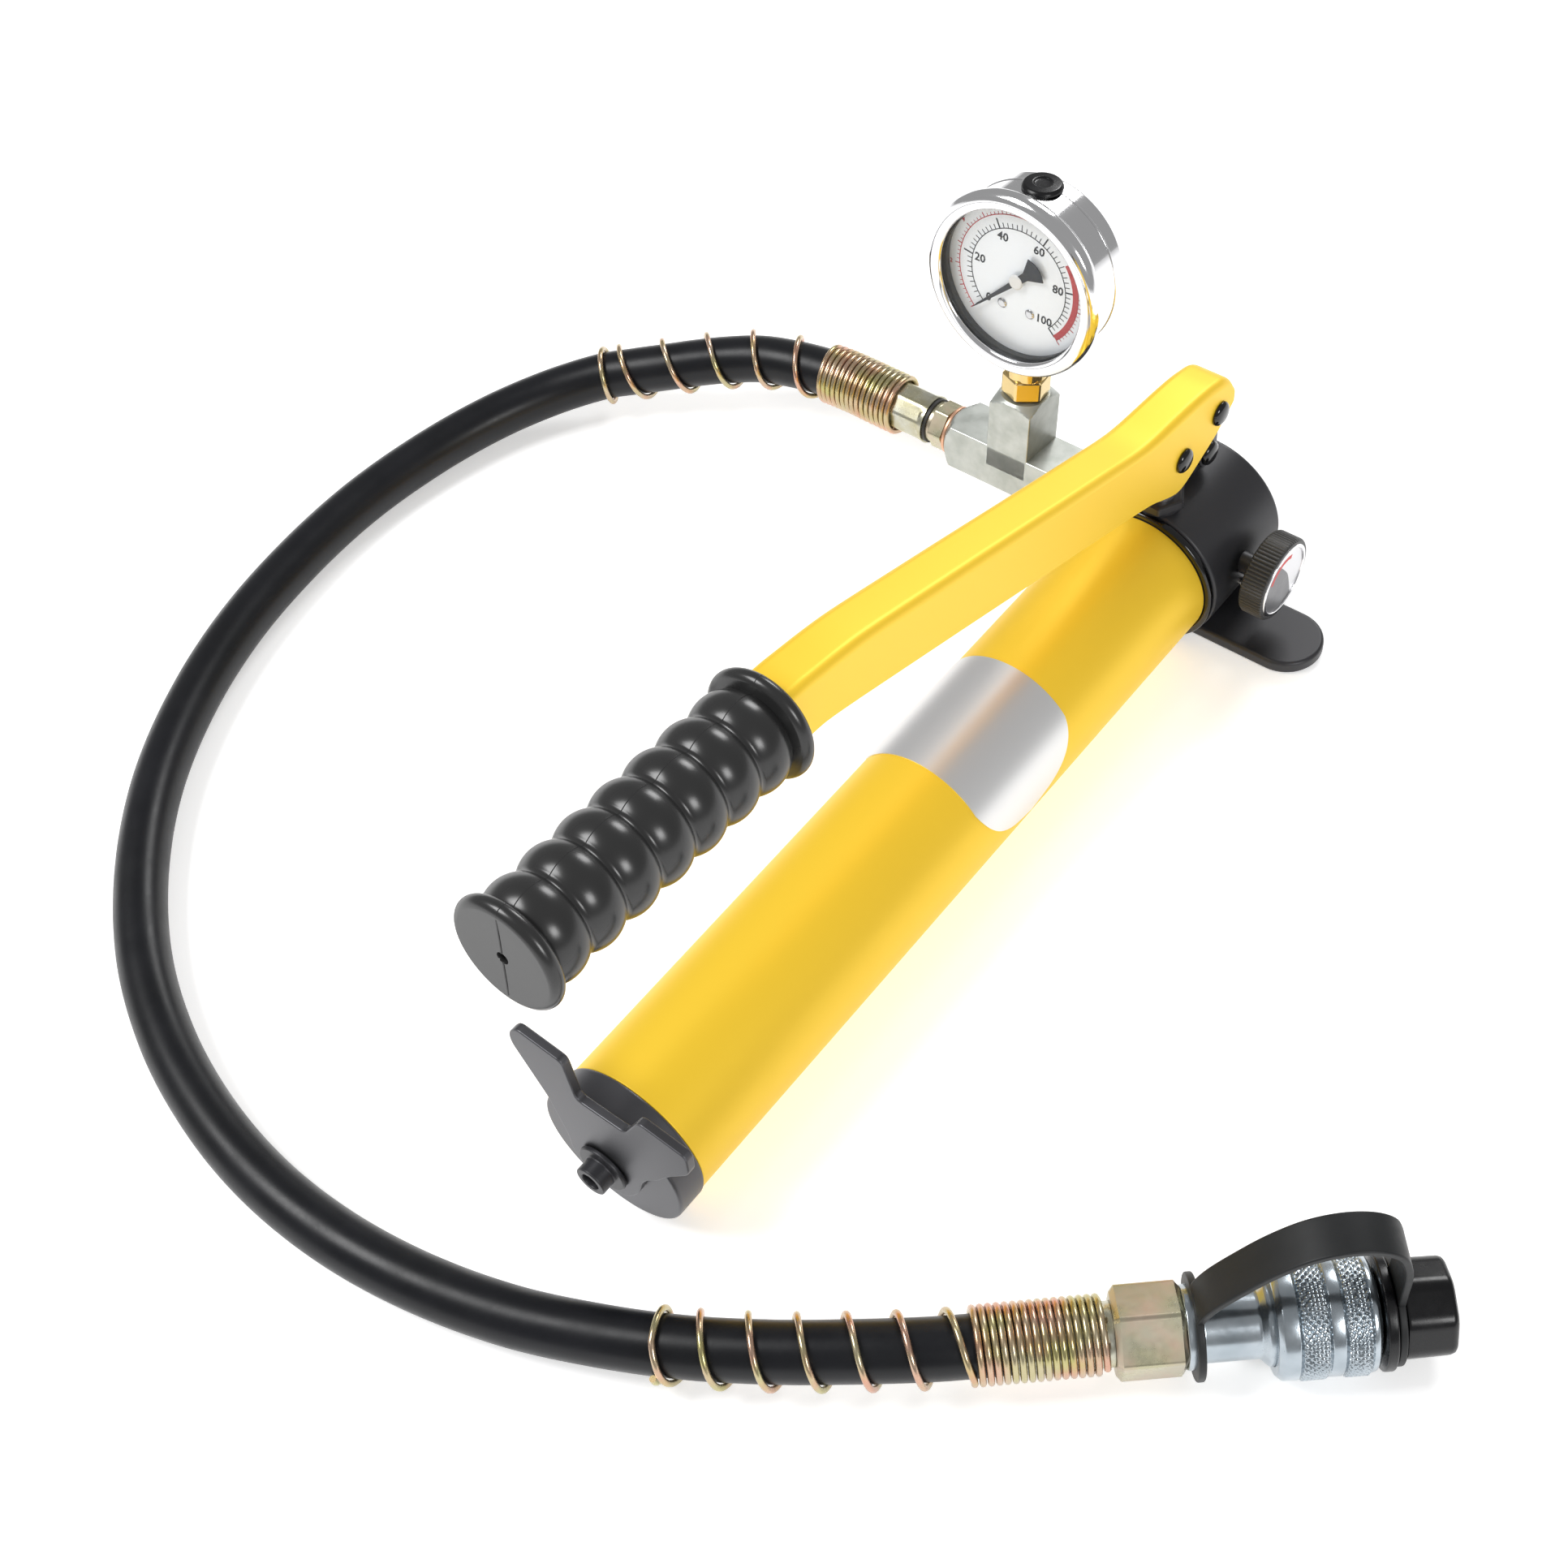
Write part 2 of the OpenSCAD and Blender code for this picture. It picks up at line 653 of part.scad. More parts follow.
module gauge_gasket()
  color("black")
    on_gauge() translate([0, 0, glass_x + glass_t])
      difference() {
        cylinder(h = dial_x - glass_x - glass_t, r = case_r - case_wall);
        translate([0, 0, -1]) cylinder(h = bezel_t, r = case_r - 2.8);
      }

module gauge_dial()
  color("white")
    on_gauge()
      difference() {
        translate([0, 0, dial_x]) cylinder(h = 0.8, r = dial_r);
        translate([0, 0, dial_x - 1]) cylinder(h = 3, r = 1.6);
        for (side = [-1, 1]) translate([11, 5.5 * side, dial_x - 1]) cylinder(h = 3, r = 1);
      }

module dial_screws()
  color("silver")
    on_gauge() for (side = [-1, 1]) translate([11, 5.5 * side, 0]) {
      translate([0, 0, dial_x - 0.7]) cylinder(h = 0.7, r = 1.8);
      translate([0, 0, dial_x - eps]) cylinder(h = 2.8 + eps, r = 1);
    }

module gauge_movement()
  color("goldenrod")
    on_gauge()
      difference() {
        union() {
          translate([-5, -9, dial_x + 2.8]) cube([movement_reach + 4, 18, 5]);
          translate([16, -14.4, dial_x + 2.8]) cube([movement_reach - 16, 28.8, 5]);
        }
        translate([0, 0, dial_x]) cylinder(h = 20, r = 1.3 + run_fit);
      }

module bourdon_tube()
  color("goldenrod")
    on_gauge() translate([0, 0, dial_x + 3.2])
      intersection() {
        rotate_extrude() translate([19, 0]) square([2.5, 5]);
        translate([-30, -30, 0]) cube([46, 60, 5]);
      }

// Pointer, hub and arbor: it stands at the zero mark, left and below the centre.
module pointer()
  color("black")
    on_gauge() {
      rotate([0, 0, 45])
        translate([0, 0, dial_x - 1.6]) linear_extrude(height = 0.5) {
          polygon([[0, -1.3], [pointer_r, -0.25], [pointer_r, 0.25], [0, 1.3]]);
          polygon([[0, -1.6], [-5, -1.8], [-10.5, -4.2], [-11.5, 0], [-10.5, 4.2], [-5, 1.8], [0, 1.6]]);
        }
      translate([0, 0, dial_x - 1.9]) cylinder(h = 0.9, r = 2.6);
      translate([0, 0, dial_x - 1.9]) cylinder(h = 9, r = 1.3);
    }

module fill_plug()
  color("black")
    on_port() translate([0, stack_y, gauge_h]) {
      translate([0, 0, case_r]) cylinder(h = 1.6, r = fill_plug_r);
      translate([0, 0, case_r - 2.5]) cylinder(h = 2.6, r = fill_plug_r - 1.5);
    }

// ---- hose run ----
module hose_adaptor()
  color("goldenrod")
    on_port() rotate([-90, 0, 0])
      difference() {
        union() {
          translate([0, 0, tee_end_y - 9]) cylinder(h = 10 + adaptor_l / 2, r = nipple_r);
          translate([0, 0, tee_end_y + 1.2]) cylinder(h = adaptor_l - 1.2, r = 9.2, $fn = 6);
        }
        cylinder(h = 2 * tee_end_y, r = 2.5);
      }

module sealing_washer()
  color("peru")
    on_port() rotate([-90, 0, 0]) translate([0, 0, tee_end_y])
      difference() {
        cylinder(h = 1.2, r = 9);
        translate([0, 0, -1]) cylinder(h = 4, r = nipple_r);
      }

module ferrule_pump_end()
  color("silver")
    translate([port_x, ferrule_y, port_z]) rotate([-90, 0, 0])
      difference() {
        cylinder(h = ferrule_l, r = ferrule_r, $fn = 8);
        translate([0, 0, -1]) cylinder(h = ferrule_l + 2, r = 2.5);
      }

// Direction of the middle line at point i, averaged over its two neighbours.
function route_dir(i) =
  let (a = hose_route[max(i - 1, 0)], b = hose_route[min(i + 1, len(hose_route) - 1)])
    (b - a) / norm(b - a);

function side_of(d) = let (c = cross(d, [0, 0, 1])) c / norm(c);

// Point at angle a and distance r from the middle line's point p with direction d.
function around(p, d, a, r) = let (s = side_of(d)) p + r * (cos(a) * s + sin(a) * cross(s, d));

// Tube through a list of rings, closed at both ends.
function ring_faces(rings, sides) = [
  [for (j = [0:sides - 1]) j],
  for (i = [0:rings - 2]) for (j = [0:sides - 1])
    let (k = (j + 1) % sides)
      each [
        [i * sides + j, (i + 1) * sides + j, (i + 1) * sides + k],
        [i * sides + j, (i + 1) * sides + k, i * sides + k]
      ],
  [for (j = [sides - 1:-1:0]) (rings - 1) * sides + j]
];

module hose() {
  sides = 12;
  rings = [for (i = [0:len(hose_route) - 1]) for (j = [0:sides - 1])
    around(hose_route[i], route_dir(i), j * 360 / sides, hose_r)];
  color("black") polyhedron(points = rings, faces = ring_faces(len(hose_route), sides), convexity = 8);
}

// Length of the middle line up to point i, and the place at length s along it.
function length_to(i) = i == 0 ? 0 : length_to(i - 1) + norm(hose_route[i] - hose_route[i - 1]);
function piece_at(s, i = 1) = i >= len(hose_route) - 1 || length_to(i) >= s ? i : piece_at(s, i + 1);
function place_at(s) =
  let (i = piece_at(s), from = length_to(i - 1), t = (s - from) / norm(hose_route[i] - hose_route[i - 1]),
       u = min(max(t, 0), 1), d = route_dir(i - 1) * (1 - u) + route_dir(i) * u)
    [hose_route[i - 1] + (hose_route[i] - hose_route[i - 1]) * t, d / norm(d)];

// Wire helix along the middle line: close turns near the fitting, then open turns.
module spring_guard(start, way, close_turns, open_turns, open_pitch) {
  turns = close_turns + open_turns;
  steps = turns * guard_steps;
  run = [for (k = [0:steps]) let (n = k / guard_steps)
    start + way * (min(n, close_turns) * guard_pitch + max(n - close_turns, 0) * open_pitch)];
  line = [for (k = [0:steps]) let (at = place_at(run[k]))
    around(at[0], at[1], -way * k * 360 / guard_steps, guard_r)];
  points = [for (k = [0:steps])
    let (d = line[min(k + 1, steps)] - line[max(k - 1, 0)], u = d / norm(d), c = place_at(run[k])[0],
         out = (line[k] - c) / norm(line[k] - c), s = cross(u, out))
      for (j = [0:guard_sides - 1]) let (a = j * 360 / guard_sides)
        line[k] + wire_d / 2 * (cos(a) * cross(s, u) + sin(a) * s)];
  color("khaki") polyhedron(points = points, faces = ring_faces(steps + 1, guard_sides), convexity = 20);
}

module spring_guard_pump_end() spring_guard(-11.5, 1, 15, 6, 15);

module spring_guard_coupler_end() spring_guard(length_to(len(hose_route) - 1) + 24, -1, 16, 7, 12.3);

// Plain wire coil that stands on the middle of its lowest turn.
module coil(r, wire_r, pitch, turns) {
  steps = turns * guard_steps;
  line = [for (k = [0:steps]) let (a = k * 360 / guard_steps)
    [r * cos(a), r * sin(a), wire_r + k * pitch / guard_steps]];
  points = [for (k = [0:steps])
    let (d = line[min(k + 1, steps)] - line[max(k - 1, 0)], u = d / norm(d),
         out = [cos(k * 360 / guard_steps), sin(k * 360 / guard_steps), 0], s = cross(u, out))
      for (j = [0:guard_sides - 1]) let (a = j * 360 / guard_sides)
        line[k] + wire_r * (cos(a) * cross(s, u) + sin(a) * s)];
  polyhedron(points = points, faces = ring_faces(steps + 1, guard_sides), convexity = 20);
}

// ---- coupler, in its own frame ----
module ferrule_coupler_end()
  color("silver")
    on_coupler() translate([0, 0, ferrule2_s])
      difference() {
        cylinder(h = nut_s - ferrule2_s, r = ferrule_r, $fn = 8);
        translate([0, 0, -1]) cylinder(h = nut_s, r = 2.5);
      }

module coupler_nut()
  color("khaki")
    on_coupler() translate([0, 0, nut_s])
      difference() {
        cylinder(h = nut_l, r = nut_r, $fn = 6);
        translate([0, 0, nut_l - 8]) cylinder(h = 9, r = 6);
        translate([0, 0, -1]) cylinder(h = nut_l, r = 2.5);
      }

module coupler_body()
  color("lightgray")
    on_coupler()
      difference() {
        union() {
          translate([0, 0, nut_s + nut_l - 8]) cylinder(h = 8, r = 6);
          translate([0, 0, nut_s + nut_l]) cylinder(h = neck_l, r = neck_r);
          translate([0, 0, sleeve_s - eps]) cylinder(h = sleeve_l, r = body_r);
        }
        translate([0, 0, nut_s + nut_l - 9]) cylinder(h = neck_l + 9, r = 3);
        translate([0, 0, sleeve_s + 4]) cylinder(h = sleeve_l, r = 9);
        for (i = [0:ball_count - 1]) rotate(i * 360 / ball_count)
          translate([0, 0, socket_s - 7]) rotate([0, 90, 0]) cylinder(h = sleeve_r, r = ball_r + 0.1);
      }

// Outer sleeve: slides back against its spring to free the balls.
module coupler_sleeve()
  color("lightgray")
    on_coupler() translate([0, 0, sleeve_s])
      difference() {
        rotate_extrude()
          difference() {
            translate([body_r + run_fit, 0]) square([sleeve_r - body_r - run_fit, sleeve_l - 1]);
            translate([body_r - 1, 8]) square([3.2, 10]);
            translate([sleeve_r - 0.8, 4]) square([2, 1.6]);
            translate([sleeve_r - 0.8, 13.2]) square([2, 1.6]);
            translate([sleeve_r - 0.8, 22.4]) square([2, 1.6]);
          }
      }

module sleeve_spring()
  color("silver")
    on_coupler() translate([0, 0, sleeve_s + 8.1]) coil(body_r + 1.1, 0.6, 1.9, 4.5);

module coupler_balls()
  color("silver")
    on_coupler() for (i = [0:ball_count - 1]) rotate(i * 360 / ball_count)
      translate([body_r - ball_r - 0.1, 0, socket_s - 7]) sphere(r = ball_r);

// Rubber plug with a grip, pushed into the coupler's mouth.
module dust_cap()
  color("black")
    on_coupler() {
      translate([0, 0, socket_s - 12]) cylinder(h = 12 + 2 * clear, r = 6.6);
      translate([0, 0, socket_s + clear]) cylinder(h = dust_flange_t, r = dust_flange_r);
      translate([0, 0, socket_s + dust_flange_t]) cylinder(h = strap_t + 4 * clear, r = dust_r - 3);
      translate([0, 0, socket_s + dust_flange_t + strap_t + 3 * clear])
        cylinder(h = dust_l - dust_flange_t - strap_t - 3 * clear, r = dust_r, $fn = 8);
    }

// Middle line of the strap's arch in the coupler's s and height above its axis.
strap_s = strap_ring_s + strap_t / 2;
strap_end_s = socket_s + dust_flange_t + 2 * clear + strap_t / 2;
strap_route = [
  [strap_s, neck_r + 2], [strap_s + 0.8, 15.5], [strap_s + 4, 21.5], [strap_s + 10, 29],
  [strap_s + 18, 37.5], [strap_s + 27, 44], [strap_s + 36, 46.5], [strap_s + 44, 45.5],
  [strap_end_s - 3.5, 41.5], [strap_end_s - 0.9, 35], [strap_end_s, 28], [strap_end_s, 20],
  [strap_end_s, dust_r - 2.5]
];

function strap_side(i, off) =
  let (last = len(strap_route) - 1, a = strap_route[max(i - 1, 0)], b = strap_route[min(i + 1, last)],
       d = (b - a) / norm(b - a))
    strap_route[i] + off * [-d[1], d[0]];

module strap_ring(s, in_r, out_r)
  translate([0, 0, s]) difference() {
    cylinder(h = strap_t, r = out_r);
    translate([0, 0, -1]) cylinder(h = strap_t + 2, r = in_r);
  }

// Flat band with a ring on the coupler's neck and another behind the cap's flange.
module cap_strap() {
  count = len(strap_route);
  outline = [
    for (i = [0:count - 1]) strap_side(i, strap_t / 2),
    for (i = [count - 1:-1:0]) strap_side(i, -strap_t / 2)
  ];
  color("black")
    on_coupler() {
      rotate([0, -90, 90]) linear_extrude(height = strap_w, center = true) polygon(outline);
      strap_ring(strap_ring_s, neck_r, neck_r + 4.8);
      strap_ring(strap_end_s - strap_t / 2, dust_r - 3, dust_r + 0.6);
    }
}

reservoir_tube();
label();
tail_cap();
tail_seal();
tie_rod();
tie_nut();
tail_hook();
pump_head();
head_collar();
head_seal();
suction_strainer();
inlet_ball();
outlet_ball();
outlet_spring();
outlet_plug();
gland_nut();
plunger_seal();
plunger();
link_plates();
link_foot_pin();
link_top_pin();
plunger_pin();
lever();
grip();
release_stem();
release_ball();
release_knob();
knob_ring();
knob_disc();
stop_pin();
outlet_nipple();
tee();
gauge_socket();
gauge_case();
gauge_bezel();
gauge_glass();
gauge_gasket();
gauge_dial();
dial_screws();
gauge_movement();
bourdon_tube();
pointer();
fill_plug();
hose_adaptor();
sealing_washer();
ferrule_pump_end();
spring_guard_pump_end();
hose();
spring_guard_coupler_end();
ferrule_coupler_end();
coupler_nut();
coupler_body();
coupler_sleeve();
sleeve_spring();
coupler_balls();
dust_cap();
cap_strap();
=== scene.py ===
"""Looks of a hydraulic hand pump: reservoir, pump head, lever, gauge, hose and quick coupler.

The CAD frame is loaded first and never moved. Each class below holds one sub-assembly's sizes in
millimetres, builds its pieces with bmesh at the CAD's place and dresses them.
"""

import logging
import math
from dataclasses import dataclass, field
from enum import Enum
from typing import Callable, Iterable, Optional, Sequence

import bmesh
import bpy
from mathutils import Matrix, Vector


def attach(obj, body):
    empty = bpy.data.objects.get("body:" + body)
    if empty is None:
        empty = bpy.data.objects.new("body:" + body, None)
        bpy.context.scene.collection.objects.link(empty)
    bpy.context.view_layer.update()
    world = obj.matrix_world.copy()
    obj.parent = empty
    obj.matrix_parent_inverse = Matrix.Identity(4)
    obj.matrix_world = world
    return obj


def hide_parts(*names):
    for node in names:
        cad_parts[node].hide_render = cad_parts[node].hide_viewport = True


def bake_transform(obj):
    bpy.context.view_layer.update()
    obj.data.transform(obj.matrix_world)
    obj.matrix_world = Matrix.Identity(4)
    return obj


LOG = logging.getLogger("hand_pump")
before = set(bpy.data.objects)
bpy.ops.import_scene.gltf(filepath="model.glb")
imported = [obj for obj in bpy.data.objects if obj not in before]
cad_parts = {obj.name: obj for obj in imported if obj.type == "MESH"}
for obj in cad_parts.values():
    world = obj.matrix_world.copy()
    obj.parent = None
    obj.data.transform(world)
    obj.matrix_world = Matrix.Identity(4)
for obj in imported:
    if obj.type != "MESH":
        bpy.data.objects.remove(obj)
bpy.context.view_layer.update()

Colour = tuple[float, float, float]
Point2 = tuple[float, float]
MM = 0.001


class Body(str, Enum):
    """CAD bodies that pieces ride on."""

    PUMP = "pump"
    PLUNGER = "plunger"
    LINK = "link"
    LEVER = "lever"
    HOOK = "hook"
    VALVE = "release_valve"
    POINTER = "gauge_pointer"
    SLEEVE = "sleeve"
    CAP = "cap"


class Grain(Enum):
    """Direction in which a metal's fine lines run."""

    NONE = (1.0, 1.0, 1.0)
    ALONG_X = (0.03, 1.0, 1.0)
    ALONG_Y = (1.0, 0.03, 1.0)
    ALONG_Z = (1.0, 1.0, 0.03)


# ---------------------------------------------------------------- finishes


class NodeGraph:
    """A material's node tree with short helpers for common nodes."""

    def __init__(self, name: str) -> None:
        """Makes an empty material with a Principled shader.

        Args:
            name: the material's name.
        """
        self.material = bpy.data.materials.new(name)
        self.material.use_nodes = True
        self.tree = self.material.node_tree
        self.tree.nodes.clear()
        out = self.tree.nodes.new("ShaderNodeOutputMaterial")
        self.shader = self.tree.nodes.new("ShaderNodeBsdfPrincipled")
        self.tree.links.new(self.shader.outputs[0], out.inputs["Surface"])
        self.place = self.tree.nodes.new("ShaderNodeTexCoord").outputs["Object"]

    def add(self, kind: str, **settings: object) -> bpy.types.Node:
        """Adds a node and sets its attributes.

        Args:
            kind: the node's type.
            **settings: attribute values.

        Returns:
            The node.
        """
        node = self.tree.nodes.new(kind)
        for key, value in settings.items():
            setattr(node, key, value)
        return node

    def link(self, source: bpy.types.NodeSocket, target: bpy.types.NodeSocket) -> None:
        """Joins an output to an input."""
        self.tree.links.new(source, target)

    def stretched(self, scale: Sequence[float],
                  frame_matrix: Optional[Matrix] = None) -> bpy.types.NodeSocket:
        """Object coordinates in metres, turned into a local frame and scaled.

        Args:
            scale: factors along the frame's axes.
            frame_matrix: the local frame in millimetres, or None for the row frame.

        Returns:
            The mapped vector socket.
        """
        source = self.place
        if frame_matrix is not None:
            inverse = frame_matrix.inverted()
            turn = self.add("ShaderNodeMapping", vector_type="POINT")
            turn.inputs["Rotation"].default_value = inverse.to_euler()
            turn.inputs["Location"].default_value = inverse.translation * MM
            self.link(source, turn.inputs["Vector"])
            source = turn.outputs[0]
        mapping = self.add("ShaderNodeMapping", vector_type="POINT")
        mapping.inputs["Scale"].default_value = scale
        self.link(source, mapping.inputs["Vector"])
        return mapping.outputs[0]

    def noise(self, size: float, detail: float = 4.0,
              stretch: Sequence[float] = (1, 1, 1)) -> bpy.types.NodeSocket:
        """Noise whose features are about size metres across.

        Args:
            size: feature size in metres.
            detail: octaves.
            stretch: extra scale per axis.

        Returns:
            The noise factor socket.
        """
        node = self.add("ShaderNodeTexNoise")
        node.inputs["Scale"].default_value = 1.0 / size
        node.inputs["Detail"].default_value = detail
        self.link(self.stretched(stretch), node.inputs["Vector"])
        return node.outputs[0]

    def math(self, operation: str, a: object, b: object = 0.0, clamp: bool = False) -> bpy.types.NodeSocket:
        """A math node over sockets or numbers.

        Args:
            operation: the node's operation.
            a: first input.
            b: second input.
            clamp: keeps the result from 0 to 1.

        Returns:
            The result socket.
        """
        node = self.add("ShaderNodeMath", operation=operation, use_clamp=clamp)
        for socket, value in zip(node.inputs, (a, b)):
            if isinstance(value, bpy.types.NodeSocket):
                self.link(value, socket)
            else:
                socket.default_value = value
        return node.outputs[0]

    def spread(self, factor: bpy.types.NodeSocket, low: float, high: float, a: float = 0.35,
               b: float = 0.65) -> bpy.types.NodeSocket:
        """Maps a factor's a..b to low..high.

        Args:
            factor: the input.
            low: value at a.
            high: value at b.
            a: lower end of the input.
            b: upper end of the input.

        Returns:
            The mapped socket.
        """
        node = self.add("ShaderNodeMapRange")
        self.link(factor, node.inputs["Value"])
        for key, value in (("From Min", a), ("From Max", b), ("To Min", low), ("To Max", high)):
            node.inputs[key].default_value = value
        return node.outputs[0]

    def mix(self, factor: object, a: object, b: object) -> bpy.types.NodeSocket:
        """Mixes two colours.

        Args:
            factor: socket or number.
            a: colour or socket at 0.
            b: colour or socket at 1.

        Returns:
            The colour socket.
        """
        node = self.add("ShaderNodeMix", data_type="RGBA")
        for socket, value in ((node.inputs[0], factor), (node.inputs[6], a), (node.inputs[7], b)):
            if isinstance(value, bpy.types.NodeSocket):
                self.link(value, socket)
            elif isinstance(value, tuple):
                socket.default_value = (*value, 1.0)
            else:
                socket.default_value = value
        return node.outputs[2]

    def bump(self, heights: Iterable[tuple[bpy.types.NodeSocket, float]]) -> None:
        """Adds bumps, each a height socket and its distance in metres."""
        normal = None
        for height, distance in heights:
            node = self.add("ShaderNodeBump")
            node.inputs["Strength"].default_value = 1.0
            node.inputs["Distance"].default_value = distance
            self.link(height, node.inputs["Height"])
            if normal is not None:
                self.link(normal, node.inputs["Normal"])
            normal = node.outputs[0]
        if normal is not None:
            self.link(normal, self.shader.inputs["Normal"])


@dataclass(frozen=True)
class Finish:
    """A surface finish: colour, gloss and fine relief, all procedural."""

    name: str
    base: Colour
    metallic: float = 0.0
    roughness: float = 0.4
    rough_range: float = 0.06
    second: Optional[Colour] = None
    patch: float = 0.03
    coat: float = 0.0
    specular: float = 0.5
    grain: float = 0.0
    grain_size: float = 0.0006
    ripple: float = 0.0
    ripple_size: float = 0.006
    lines: Grain = Grain.NONE
    alpha: float = 1.0

    def build(self) -> bpy.types.Material:
        """Makes the material, or returns the one already made."""
        made = bpy.data.materials.get(self.name)
        if made is not None:
            return made
        graph = NodeGraph(self.name)
        shader = graph.shader.inputs
        shader["Metallic"].default_value = self.metallic
        shader["Coat Weight"].default_value = self.coat
        shader["Specular IOR Level"].default_value = self.specular
        shader["Coat Roughness"].default_value = 0.04
        if self.alpha < 1.0:
            shader["Alpha"].default_value = self.alpha
        graph.link(self.colour(graph), shader["Base Color"])
        smudge = graph.noise(0.011, 5.0)
        fine = graph.noise(self.grain_size * 3, 3.0, self.lines.value)
        blend = graph.math("ADD", graph.math("MULTIPLY", smudge, 0.7), graph.math("MULTIPLY", fine, 0.3))
        low, high = self.roughness - self.rough_range, self.roughness + self.rough_range
        graph.link(graph.spread(blend, max(low, 0.01), high), shader["Roughness"])
        reliefs = []
        if self.ripple:
            reliefs.append((graph.noise(self.ripple_size, 2.0), self.ripple))
        if self.grain:
            reliefs.append((graph.noise(self.grain_size, 3.0, self.lines.value), self.grain))
        graph.bump(reliefs)
        return graph.material

    def colour(self, graph: NodeGraph) -> bpy.types.NodeSocket:
        """The base colour with soft patches of the second colour.

        Args:
            graph: the material's nodes.

        Returns:
            The colour socket.
        """
        other = self.second or tuple(c * 0.88 for c in self.base)
        return graph.mix(graph.spread(graph.noise(self.patch, 5.0), 0.0, 1.0), self.base, other)


@dataclass(frozen=True)
class PassivatedZinc(Finish):
    """Yellow chromated zinc: pink, straw and greenish patches over pale metal."""

    pink: Colour = (0.78, 0.50, 0.40)
    straw: Colour = (0.74, 0.66, 0.40)
    stripe: float = 0.011

    def colour(self, graph: NodeGraph) -> bpy.types.NodeSocket:
        """Straw to pink bands over the pale base.

        Args:
            graph: the material's nodes.

        Returns:
            The colour socket.
        """
        hue = graph.spread(graph.noise(self.stripe, 2.0), 0.0, 1.0, 0.38, 0.62)
        tint = graph.mix(hue, self.straw, self.pink)
        pale = graph.spread(graph.noise(self.stripe * 0.7, 3.0, (1.3, 0.8, 1.0)), 0.0, 0.75, 0.3, 0.7)
        return graph.mix(pale, tint, self.base)


@dataclass(frozen=True)
class KnobFace(Finish):
    """Grey disc with a painted highlight crescent on one side and a red arc, drawn about an axis along Y.
    """

    centre: Point2 = (1.5, 29.0)

    def colour(self, graph: NodeGraph) -> bpy.types.NodeSocket:
        """Disc colours by radius and angle about the centre; the bright crescent is a painted highlight.

        Args:
            graph: the material's nodes.

        Returns:
            The colour socket.
        """
        split = graph.add("ShaderNodeSeparateXYZ")
        graph.link(graph.place, split.inputs[0])
        x = graph.math("SUBTRACT", split.outputs[0], self.centre[0] * MM)
        z = graph.math("SUBTRACT", split.outputs[2], self.centre[1] * MM)
        squared = graph.math("ADD", graph.math("MULTIPLY", x, x), graph.math("MULTIPLY", z, z))
        radius = graph.math("SQRT", squared)
        angle = graph.math("ARCTAN2", z, x)
        turned = graph.math("ADD", x, graph.math("MULTIPLY", z, 0.5))
        # painted highlight: a bright crescent on one side of the disc stands in for light reflected off the
        # metal face
        painted_highlight_crescent = graph.math("GREATER_THAN", graph.math("ADD", turned,
                                                         graph.math("MULTIPLY", radius, 0.25)), 0.0035)
        arc = graph.math("MULTIPLY", graph.math("GREATER_THAN", radius, 0.0082),
                         graph.math("LESS_THAN", radius, 0.0098))
        sector = graph.math("MULTIPLY", graph.math("GREATER_THAN", angle, 1.1),
                            graph.math("LESS_THAN", angle, 2.7))
        # the light grey mixed in here is the painted highlight colour
        ground = graph.mix(painted_highlight_crescent, super().colour(graph), (0.78, 0.78, 0.80))
        return graph.mix(graph.math("MULTIPLY", arc, sector), ground, (0.55, 0.03, 0.03))


YELLOW = Finish("yellow_enamel", (0.86, 0.385, 0.006), roughness=0.22, rough_range=0.05,
                second=(0.84, 0.36, 0.005),
                patch=0.08, coat=0.5, ripple=0.00006, ripple_size=0.008, grain=0.000004)
BLACK_ENAMEL = Finish("black_enamel", (0.006, 0.0065, 0.008), roughness=0.30, second=(0.009, 0.010, 0.012),
                      coat=0.08, specular=0.3, ripple=0.00004, grain=0.000006)
GLOSS_BLACK = Finish("gloss_black", (0.003, 0.003, 0.0035), roughness=0.12, coat=0.3, specular=0.4,
                     ripple=0.00003)
DARK_STEEL = Finish("dark_steel", (0.016, 0.017, 0.020), roughness=0.42, second=(0.026, 0.027, 0.030),
                    specular=0.3, grain=0.00001)
BRIGHT_STEEL = Finish("bright_steel", (0.66, 0.66, 0.67), metallic=1.0, roughness=0.18, lines=Grain.ALONG_Z,
                      grain=0.000003)
ZINC = Finish("zinc_plate", (0.50, 0.52, 0.49), metallic=0.75, roughness=0.36, second=(0.40, 0.42, 0.39),
              patch=0.006,
              grain=0.00001, grain_size=0.0005, ripple=0.00002, ripple_size=0.003)
BLUE_ZINC = Finish("blue_zinc", (0.46, 0.51, 0.55), metallic=0.95, roughness=0.22,
                   second=(0.36, 0.41, 0.45),
                   patch=0.008, grain=0.000006)
CRIMPED = Finish("crimped_zinc", (0.55, 0.55, 0.47), metallic=0.9, roughness=0.26,
                 second=(0.46, 0.43, 0.28),
                 patch=0.007, grain=0.000008)
CHROMATED = PassivatedZinc("chromated_zinc", (0.44, 0.43, 0.33), metallic=0.85, roughness=0.30,
                           pink=(0.50, 0.38, 0.29), straw=(0.46, 0.43, 0.27), grain=0.000003)
CHROMATED_WIRE = PassivatedZinc("chromated_wire", (0.52, 0.46, 0.34), metallic=0.9, roughness=0.25,
                                pink=(0.60, 0.30, 0.22), straw=(0.46, 0.42, 0.17), stripe=0.013,
                                grain=0.000003)
POLISHED = Finish("polished_steel", (0.58, 0.57, 0.56), metallic=1.0, roughness=0.12, rough_range=0.04,
                  second=(0.50, 0.49, 0.48), ripple=0.00001, lines=Grain.ALONG_Y, grain=0.000002)
